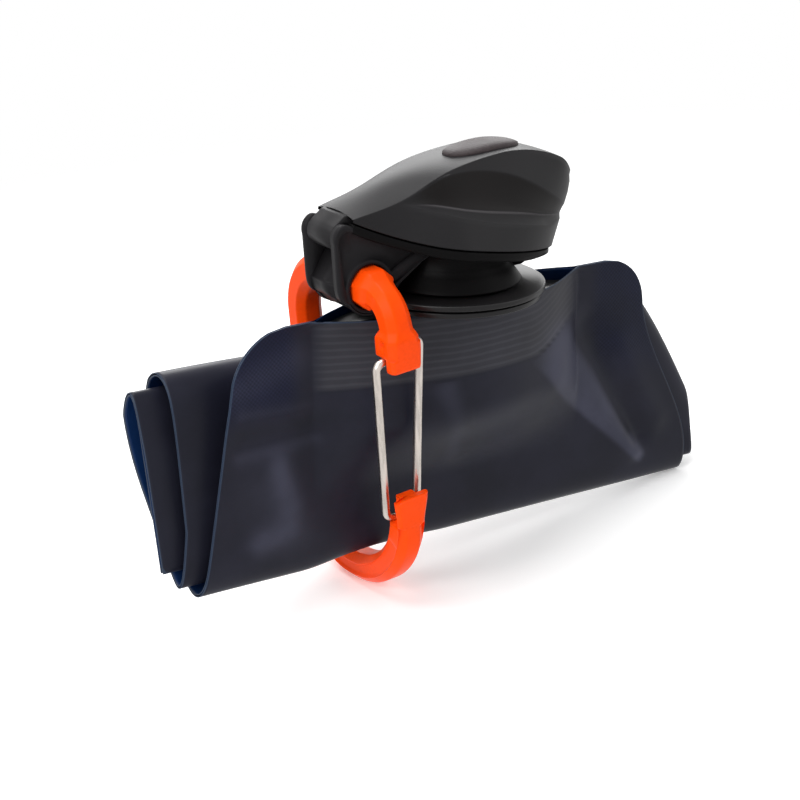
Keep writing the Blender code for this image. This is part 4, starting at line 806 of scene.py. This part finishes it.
def lid_stations(inset):
    """Places along the seam from hinge to nose, closer together at the nose, with the half width and
    the outline's normal there, all set in by a wall's thickness."""
    fine = APEX_X + (NOSE_X - APEX_X) * np.sin(np.linspace(0, math.pi / 2, 1200))
    half = leaf_half_width(fine)
    slope = np.gradient(half, fine, edge_order=2)
    length = np.hypot(slope, 1)
    fine_x, fine_y = fine + slope / length * inset, half - inset / length
    fine_y[-1] = min(fine_y[-1], 0)
    last = np.argmax(fine_y <= 0)
    step = fine_y[last - 1] / (fine_y[last - 1] - fine_y[last])
    end = fine_x[last - 1] + step * (fine_x[last] - fine_x[last - 1])
    x = fine_x[0] + (end - fine_x[0]) * np.sin(np.linspace(0, math.pi / 2, LID_STATIONS))
    own_half, own_slope = (np.interp(x, fine_x[:last], values[:last]) for values in (fine_y, slope))
    own_half[-1] = 0
    length = np.hypot(own_slope, 1)
    return x, own_half, -own_slope / length, 1 / length


def between(low, high, *shares):
    """The levels that lie at some shares of the way from one to another."""
    return [low + (high - low) * share for share in shares]


def lid_half(inset):
    """Half the lid as rows from seam to crown at each station. The flank runs straight from seam to
    crease but for a small belly and the scoop: from the first line it turns in as a ledge, is deepest
    just above the second, and comes back out to the third. The two lower lines fall away from the
    hinge exponentially, and the third as a half wave of the cosine."""
    x, half, normal_x, normal_y = lid_stations(inset)
    share = (x - x[0]) / (x[-1] - x[0])
    top_x = x + share * NOSE_OVERHANG
    low = seam_z(x)
    side_top = crown_z(top_x) - crease_drop(top_x)
    crease = crease_half_width(top_x) * half / np.maximum(leaf_half_width(x), 1e-6)
    near_nose = smooth(x, 18, NOSE_X)
    first = np.minimum(LEDGE_LOW + 0.64 * np.exp((SCOOP_START - x) / 9.0) + 0.09 * near_nose, 0.90)
    second = np.minimum(LEDGE_HIGH + 0.55 * np.exp((SCOOP_START - x) / 9.5) + 0.03 * near_nose, 0.915)
    third = np.maximum(0.97 - 0.235 * (1 - np.cos(math.pi * np.clip((x + 14) / 46, 0, 1))), second + 0.03)
    opened = smooth(x, -21, -12) * (1 - share**14)
    levels = [*between(0 * x, first, 0, 0.04, 0.3, 0.6, 0.85, 1.0), first + 0.004]
    levels += between(first, second, 0.25, 0.5, 0.75, 0.94, 1.0)
    levels += between(second, third, 0.014, 0.04, 0.15, 0.3, 0.45, 0.6, 0.75, 0.88, 0.97, 1.0, 1.03)
    levels += between(third, 1, 0.3, 0.6, 0.85, 1.0)
    rows, shades = [], []
    for level in levels:
        inner_share = np.clip((level - first) / np.maximum(second - first, 1e-3), 0, 1)
        back_share = np.clip((level - second) / np.maximum(third - second, 1e-3), 0, 1)
        behind = SCOOP_DEEP * (1 - back_share**1.2) + 0.5 * np.sin(math.pi * back_share**0.55)
        dished = opened * np.where(level < second, SCOOP_DEEP * inner_share, behind)
        belly = 0.045 * (side_top - low) * np.sin(math.pi * level) * (1 - share**6)
        inward = np.maximum(dished, 0) - belly
        blunt = smooth(share, 0.86, 1) * smooth(level, 0.7, 1)
        row_x = x + (top_x - x) * level - normal_x * inward - 1.7 * blunt
        row_y = half + (crease - half) * level - normal_y * inward * (1 - share**20)
        row_z = low + (side_top - low) * level - inset * smooth(level, 0.5, 1) - 1.0 * blunt**2
        rows.append(np.column_stack([row_x, np.clip(row_y, 0, None), np.maximum(row_z, low + 0.4 * level)]))
        # Painted shade in the scoop between the second and third lines, and a painted highlight, kept as a
        # negative value, just below the second.
        dark = opened * smooth(level - second, -0.002, 0.012) * (1 - smooth(level - third, -0.03, 0.005))
        shades.append(dark - 0.8 * opened * np.exp(-(((level - second + 0.008) / 0.012) ** 2)))
    last_x, last_y = rows[-1][:, 0], rows[-1][:, 1]
    for k in (0.03, 0.1, 0.22, 0.36, 0.52, 0.68, 0.84, 1):
        row_z = crown_z(top_x) - crease_drop(top_x) * (1 - k) ** 2 - inset - 1.0 * smooth(share, 0.86, 1) ** 2
        rows.append(np.column_stack([last_x, last_y * (1 - k), np.maximum(row_z, low + 0.4 * (1 + k))]))
        shades.append(0 * last_x)
    return np.stack(rows, axis=1), np.stack(shades, axis=1)


def lid_face(inset):
    """The lid's half and its mirror, as one grid from seam to seam over the crown."""
    half, shade = lid_half(inset)
    half[-1, :, 1] = 0
    mirrored = half[:, -2::-1] * [1, -1, 1]
    return np.concatenate([half, mirrored], axis=1), np.concatenate([shade, shade[:, -2::-1]], axis=1)


def tongue_profile(far):
    """The tongue's section, from its bore out to a softened rim and back."""
    edge, half = np.maximum(far, 2.4), TONGUE_HALF
    rising = [(TONGUE_BORE, -half), (edge - 0.25, -half), (edge, 0.25 - half)]
    return rising + [(reach, -y) for reach, y in rising[::-1]]


(lid_out, scoop), (lid_in, _) = lid_face(0), lid_face(LID_WALL)
lid_grid = np.concatenate([lid_out, lid_in[:, ::-1]], axis=1)
over_tongue = [(-27.5, crown_z(-27.5) - 0.8), (-32.3, crown_z(APEX_X) - 0.55)]
knuckle = on_circle(HINGE_MM, KNUCKLE_RADIUS, np.linspace(128, 360, 12))
tongue_corners = np.vstack([over_tongue, knuckle, [(x, seam_z(x) + 0.25) for x in (-29.4, -27.5)]])
tongue = round_plate(HINGE_MM, evened(eased(tongue_corners, 0.3, closed=True), 160), tongue_profile)
post = lathed([(POST_BORE, 88.2), (POST_RADIUS, 88.2), (POST_RADIUS, 0), (POST_BORE, 0)], 72)
post[2:, :, 2] = crown_z(post[2:, :, 0]) - 0.9
# The scoop's painted shade and highlight lie on the lid's outer face only, not on its inner face, tongue or
# post.
scoop = np.concatenate([scoop, 0 * scoop], axis=1).ravel()
scoop = np.pad(scoop, (0, tongue[..., 0].size + post[..., 0].size))
lid = moulded("lid_moulding", [(lid_grid, False), (tongue, True), (post, True)], masks={"scoop": scoop})


def lid_colour(tree):
    """Charcoal, with painted shade, brown-black, in the scoop, and a painted highlight along the edge of the
    scoop's ledge.
    """
    deep = stored(tree, "scoop")
    ledge_painted_highlight = fade(tree, deep, -0.7, -0.05, 1.0, 0.0)
    plain = blended(tree, ledge_painted_highlight, (0.0105, 0.0100, 0.0110, 1), (0.050, 0.047, 0.050, 1))
    return blended(tree, fade(tree, deep, 0.0, 0.9), plain, (0.0036, 0.0026, 0.0026, 1))


lid.data.materials.append(moulded_finish("lid_grey", lid_colour, 0.44, bump=0.1, specular=0.15))
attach(lid, "lid")
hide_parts("lid_shell")


# The thumb pad, soft brown-black rubber moulded onto the lid's crown: a leaf with a steep rim and a
# slightly domed, pebbled top. Its half width is a square root that falls to nothing at both ends.
PAD_REAR, PAD_FRONT, PAD_HALF, PAD_HEIGHT, PAD_SUNK = -1.8, 18.4, 5.2, 1.3, 0.4
along_pad = -np.cos(np.linspace(0, math.pi, 61))[:, None]
across_pad = np.sin(np.linspace(-math.pi / 2, math.pi / 2, 33))
pad_x = PAD_REAR + (PAD_FRONT - PAD_REAR) * (1 + along_pad) / 2
pad_y = PAD_HALF * np.sqrt(np.clip(1 - np.abs(along_pad) ** 2.6, 0, None)) * across_pad
base = crown_z(pad_x) - crease_drop(pad_x) * (pad_y / crease_half_width(pad_x)) ** 2 + 0.05
rim_share = 1 - np.maximum(across_pad**6, along_pad**16)
dome = PAD_HEIGHT * np.sqrt(np.clip(rim_share, 0, 1)) * (1 - 0.18 * across_pad**2) * (1 - 0.25 * along_pad**2)
pad_faces = (np.stack(np.broadcast_arrays(pad_x, pad_y, z), axis=2) for z in (base + dome, base - PAD_SUNK))
pad_top, pad_under = pad_faces
pad = moulded("pad_moulding", [(np.concatenate([pad_top, pad_under[:, ::-1]], axis=1), False)])
pad_rubber = moulded_finish("pad_rubber", (0.032, 0.0235, 0.025, 1), 0.62, 1500.0, 0.5, 0.35, 0.25)
pad.data.materials.append(pad_rubber)
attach(pad, "lid")
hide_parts("thumb_pad")


# The carabiner, one bright orange moulding: a chamfered bar bent round from the gate's hinge end, past
# a thick round part in the cap's eye, down a long back and round the foot to a T-shaped nose. It is
# one section carried along the bar's line, whose sizes change along it.
BAR_HALF, HINGE_END_W, NOSE_W, FOOT_W, BACK_V = 3.6, -16.6, -47.6, -75.8, 23.8
CHAMFER, PANEL_HALF, PANEL_DEEP, DIMPLE_DEEP, DIMPLE_AT = 1.75, 1.5, 0.62, 0.85, 6.0
NOTCH_LENGTH, NOSE_SET_BACK, WIRE_RADIUS, BLEND_LENGTH = 8.8, 1.7, 1.0, 0.13


def gate_line(w):
    """How far forward the carabiner's front side lies at a height: it runs in a little downwards."""
    return -17.0 + 2.2 * w / NOSE_W


def unit(vectors):
    """The same directions at a length of 1."""
    return vectors / np.linalg.norm(vectors, axis=-1, keepdims=True)


def arced(corners, radii, steps):
    """A line through corners in a plane or in space, each rounded by an arc of its own radius."""
    corners = np.asarray(corners, float)
    line = [corners[:1]]
    for before, here, after, radius in zip(corners, corners[1:], corners[2:], radii):
        back, on = unit(before - here), unit(after - here)
        half = math.acos(float(np.clip(back @ on, -1, 1))) / 2
        centre = here + unit(back + on) * radius / math.sin(half)
        first = here + back * radius / math.tan(half) - centre
        turned = np.linspace(0, math.pi - 2 * half, steps)[:, None]
        across = unit(-back - first * (-back @ first) / (first @ first)) * radius
        line.append(centre + first * np.cos(turned) + across * np.sin(turned))
    line.append(corners[-1:])
    return np.concatenate(line)


bar_corners = [
    (gate_line(HINGE_END_W), HINGE_END_W), (gate_line(0), 0), (BACK_V, 0), (BACK_V, FOOT_W),
    (gate_line(FOOT_W), FOOT_W), (gate_line(NOSE_W), NOSE_W),
]
bar = arced(bar_corners, [8.0, 13.0, 12.0, 25.0], steps=40)
run = np.concatenate([[0], np.cumsum(np.linalg.norm(np.diff(bar, axis=0), axis=1))])
notch_start = run[-1] - NOTCH_LENGTH
steps_at = [2.95, 3.2, 6.35, 6.6, notch_start - 0.12, notch_start + 0.12]
stations = np.unique(np.concatenate([np.linspace(0, run[-1], 260), steps_at]))
bar = cut_again(bar, stations, run)
heading = unit(np.gradient(bar, stations, axis=0))
outward = np.column_stack([-heading[:, 1], heading[:, 0]])
v_at, w_at = bar.T
hinge_side, front = stations < run[-1] / 2, v_at < 0

# How the section changes along the bar: each of these goes from 0 to 1 where its part of it begins.
at_hinge = (1 - smooth(stations, 7.2, 9.0)) * (0.75 + 0.25 * smooth(stations, 0, 5))
in_eye = smooth(v_at, -11.2, -9.6) * (1 - smooth(v_at, 8.2, 10.5)) * (w_at > -8)
at_nose = smooth(w_at, -58.0, -48.5) * front * ~hinge_side
neck = smooth(stations, 8.0, 9.5) * (1 - smooth(v_at, -12.5, -10.5)) * hinge_side * front
in_panel = (1 - smooth(w_at, -22, -18)) * ~hinge_side * (1 - smooth(stations, run[-1] - 15.6, run[-1] - 14.0))
set_back = NOSE_SET_BACK * smooth(w_at, -64.0, -52.0) * front * ~hinge_side
half_bar = BAR_HALF + 0.6 * at_hinge + 1.1 * in_eye + 0.95 * at_nose - 0.25 * neck
chamfer = CHAMFER + 1.0 * in_eye - 0.75 * at_nose - 0.2 * at_hinge
bevel_back = chamfer - 0.3 * at_nose
panel_deep = 0.02 + PANEL_DEEP * in_panel * (1 - in_eye)
panel_half = PANEL_HALF + 0.45 * (1 - smooth(v_at, -6, 6)) * ~hinge_side
dimple = DIMPLE_DEEP * np.exp(-(((stations - DIMPLE_AT) / 0.7) ** 4)) * hinge_side


def bar_side(side):
    """One side of the section at every station, from front to back: across and outward. It blends from
    the plain chamfered bar, with its sunk side panel, to the T with its flange in front of the wire."""
    deep = panel_deep + (dimple if side < 0 else 0)
    slot = np.where(dimple > 0.05, 0.8, panel_half) if side < 0 else panel_half
    face = half_bar - set_back
    plain = [
        (half_bar - chamfer, face), (half_bar, face - chamfer), (half_bar, slot),
        (half_bar - deep, 0.72 * slot), (half_bar - deep, -0.72 * slot), (half_bar, -slot),
        (half_bar, bevel_back - half_bar), (half_bar - bevel_back, -half_bar),
    ]
    rear, ledge, web = (np.where(hinge_side, *ends) for ends in ((-half_bar, -1.9), (1.2, 1.1), (2.05, 2.2)))
    tee = [
        (half_bar - 0.8, face), (half_bar, face - 0.8), (half_bar, ledge), (web, ledge), (web, ledge - 0.8),
        (web, 0.4 * ledge + 0.6 * rear), (web, rear + 0.5), (web - 0.5, rear),
    ]
    shoulder = 3.075 if side < 0 else 6.475
    share = np.maximum(
        1 - smooth(stations, shoulder - BLEND_LENGTH, shoulder + BLEND_LENGTH),
        smooth(stations, notch_start - BLEND_LENGTH, notch_start + BLEND_LENGTH),
    )
    blend = [(a * (1 - share) + c * share, b * (1 - share) + d * share) for (a, b), (c, d) in zip(plain, tee)]
    return np.stack([np.stack([side * across, out], axis=1) for across, out in blend], axis=1)


section = eased(np.concatenate([bar_side(1), bar_side(-1)[:, ::-1]], axis=1), 0.42, closed=True, steps=4)
across, out_by = section[..., 0], section[..., 1]
v_rows, w_rows = (bar[:, k, None] + out_by * outward[:, k, None] for k in (0, 1))
rows = np.stack([across, v_rows, w_rows], axis=2)
tip = smooth(rows[..., 2], NOSE_W - 2.0, NOSE_W) * (front & ~hinge_side)[:, None]
rows[..., 2] -= tip * (1.1 + 0.75 * np.clip(1 - (across / 3.0) ** 2, 0, 1) + 1.1 * smooth(-across, 3.0, 4.6))


def capped(rows):
    """Rows of a swept piece with both ends closed at their middles, over two rows a little drawn in."""
    drawn_in = np.array([0.0225, 0.075, 1])[:, None, None]
    first, last = (end + (end.mean(axis=0) - end) * drawn_in for end in (rows[0], rows[-1]))
    return np.concatenate([first[::-1], rows[1:-1], last])


clip = moulded("clip_bar", [(capped(rows), False)], placed=hung)
clip_orange = moulded_finish("clip_orange", (0.90, 0.064, 0.002, 1), 0.36, 1400.0, 0.10, 0.05, 0.07)
clip.data.materials.append(clip_orange)
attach(clip, "carabiner")
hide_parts("carabiner_body")


# The gate: one length of stainless wire, bent into a long loop. Its two ends go into the carabiner's
# hinge end at different heights, which springs it shut, and its foot rests behind the nose.
WIRE_TOP_LEFT, WIRE_TOP_RIGHT, WIRE_FOOT_V, WIRE_FOOT_W, WIRE_SIDES = -14.6, -11.2, -11.6, -55.1, 24
wire_corners = [
    (-2.2, gate_line(WIRE_TOP_LEFT), WIRE_TOP_LEFT), (-6.0, gate_line(WIRE_TOP_LEFT), WIRE_TOP_LEFT),
    (-4.2, WIRE_FOOT_V, WIRE_FOOT_W), (4.2, WIRE_FOOT_V, WIRE_FOOT_W),
    (6.0, gate_line(WIRE_TOP_RIGHT), WIRE_TOP_RIGHT), (2.2, gate_line(WIRE_TOP_RIGHT), WIRE_TOP_RIGHT),
]
wire = arced(wire_corners, [1.9, 2.1, 2.1, 1.9], steps=12)
ahead = unit(np.gradient(wire, axis=0))
sideways = unit(np.cross(ahead, [0, 1, 0]))
round_wire = np.linspace(0, 2 * math.pi, WIRE_SIDES, endpoint=False)[None, :, None]
ring = np.cos(round_wire) * sideways[:, None] + np.sin(round_wire) * np.cross(ahead, sideways)[:, None]
gate = moulded("gate_wire", [(capped(wire[:, None] + WIRE_RADIUS * ring), False)], placed=hung)

# Drawn wire: a warm bright metal with fine lines drawn out along its length.
drawn, inside, out = effect(
    "drawn_metal", {"Place": None, "Metal": (0.6, 0.57, 0.53, 1), "Lines": 30.0}, ("Color", "Roughness")
)
stretched = add_node(drawn, "ShaderNodeMapping", {"Vector": inside["Place"], "Scale": (40.0, 40.0, 1.0)})
lines = noise(drawn, stretched.outputs[0], inside["Lines"], 3.0)
drawn.links.new(toned(drawn, inside["Metal"], fade(drawn, lines, 0.3, 0.7, 0.82, 1.1)), out["Color"])
drawn.links.new(fade(drawn, lines, 0.3, 0.7, 0.22, 0.36), out["Roughness"])


def drawn_finish(name, metal, lines):
    """Drawn or ground metal."""
    inputs = {"Place": own_place, "Metal": metal, "Lines": lines}
    return dressed(name, drawn, inputs, roughness=0.28, metallic=1.0)


gate.data.materials.append(drawn_finish("wire_steel", (0.66, 0.60, 0.55, 1), 30.0))
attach(gate, "gate")
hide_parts("wire_gate")


# Pieces kept from the model as they are: the silicone gasket in the cap, the grey drinking nozzle, the
# ground steel hinge pin and the silicone plug in the lid. Only their materials are made here.
kept = {
    "neck_gasket": moulded_finish("gasket_silicone", (0.30, 0.31, 0.32, 1), 0.55, 900.0, 0.1, 0.08, 0.4),
    "drink_nozzle": moulded_finish("nozzle_grey", (0.10, 0.105, 0.11, 1), 0.42, 2600.0, 0.1, 0.08),
    "plug_seal": moulded_finish("plug_silicone", (0.33, 0.34, 0.35, 1), 0.55, 900.0, 0.1, 0.08, 0.4),
    "hinge_pin": drawn_finish("pin_steel", (0.56, 0.56, 0.57, 1), 60.0),
}
for node, material in kept.items():
    for slot in bpy.data.objects[node].material_slots:
        slot.material = material


# Floor, world and lamps of a plain studio: a pale floor that keeps the shadow, and soft light from
# above on both sides. Seen directly, in a gloss or through glass, the surroundings are plain white,
# and so is the floor further out.
FLOOR_HALF, FLOOR_GLOW, WHITE_FROM, WHITE_AT, WORLD_LIGHT = 3.0, 0.26, 0.16, 0.42, 0.36
WHITE = (1, 1, 1, 1)
floor_corners = FLOOR_HALF * np.array([(-1, -1, 0), (1, -1, 0), (1, 1, 0), (-1, 1, 0)])
floor = mesh_piece("floor", floor_corners, np.arange(4)[None])
material, tree, shader = finish("pale_floor", 0.9, specular=0.0)
mottle = noise(tree, own_place(tree), 6.0)
shade = blended(tree, mottle, (0.93, 0.93, 0.93, 1), (0.94, 0.94, 0.94, 1))
tree.links.new(shade, shader.inputs["Base Color"])
shader.inputs["Emission Color"].default_value = WHITE
shader.inputs["Emission Strength"].default_value = FLOOR_GLOW
ray = add_node(tree, "ShaderNodeLightPath").outputs
glimpsed = calc(tree, "MAXIMUM", ray["Is Glossy Ray"], ray["Is Transmission Ray"])
distance = add_node(tree, "ShaderNodeVectorMath", {0: own_place(tree)}, operation="LENGTH").outputs["Value"]
white = calc(tree, "MAXIMUM", glimpsed, fade(tree, distance, WHITE_FROM, WHITE_AT))
glow = add_node(tree, "ShaderNodeEmission", {"Color": WHITE, "Strength": 1.0})
mixed = add_node(tree, "ShaderNodeMixShader", {0: white, 1: shader.outputs[0], 2: glow.outputs[0]})
tree.links.new(mixed.outputs[0], tree.nodes["Material Output"].inputs["Surface"])
floor.data.materials.append(material)

world = bpy.data.worlds.new("studio")
scene.world = world
world.use_nodes = True
tree = world.node_tree
ray = add_node(tree, "ShaderNodeLightPath").outputs
glimpsed = calc(tree, "MAXIMUM", ray["Is Glossy Ray"], ray["Is Transmission Ray"])
seen = calc(tree, "MAXIMUM", ray["Is Camera Ray"], glimpsed)
background = tree.nodes["Background"]
background.inputs["Color"].default_value = WHITE
tree.links.new(fade(tree, seen, 0, 1, WORLD_LIGHT, 1.0), background.inputs["Strength"])


def soft_lamp(name, place, target, size, power):
    """A square area lamp in metres that looks at a point."""
    lamp = bpy.data.objects.new(name, bpy.data.lights.new(name, "AREA"))
    lamp.data.size = size
    lamp.data.energy = power
    back = unit(np.subtract(place, target))
    side = unit(np.cross([0, 0, 1], back))
    facing = np.array([side, np.cross(back, side), back]).T
    lamp.matrix_world = Matrix.LocRotScale(place, Matrix(facing.tolist()), None)
    scene.collection.objects.link(lamp)


soft_lamp("top_lamp", (-0.10, 0.12, 0.75), (0, 0, 0.04), 0.55, 5.6)
soft_lamp("back_lamp", (0.42, 0.62, 0.42), (0, 0, 0.06), 0.50, 3.4)
soft_lamp("left_lamp", (-0.62, -0.25, 0.50), (0, 0, 0.05), 0.45, 3.2)
soft_lamp("right_lamp", (0.55, -0.45, 0.35), (0, 0, 0.05), 0.45, 0.6)
scene.view_settings.view_transform = "Standard"
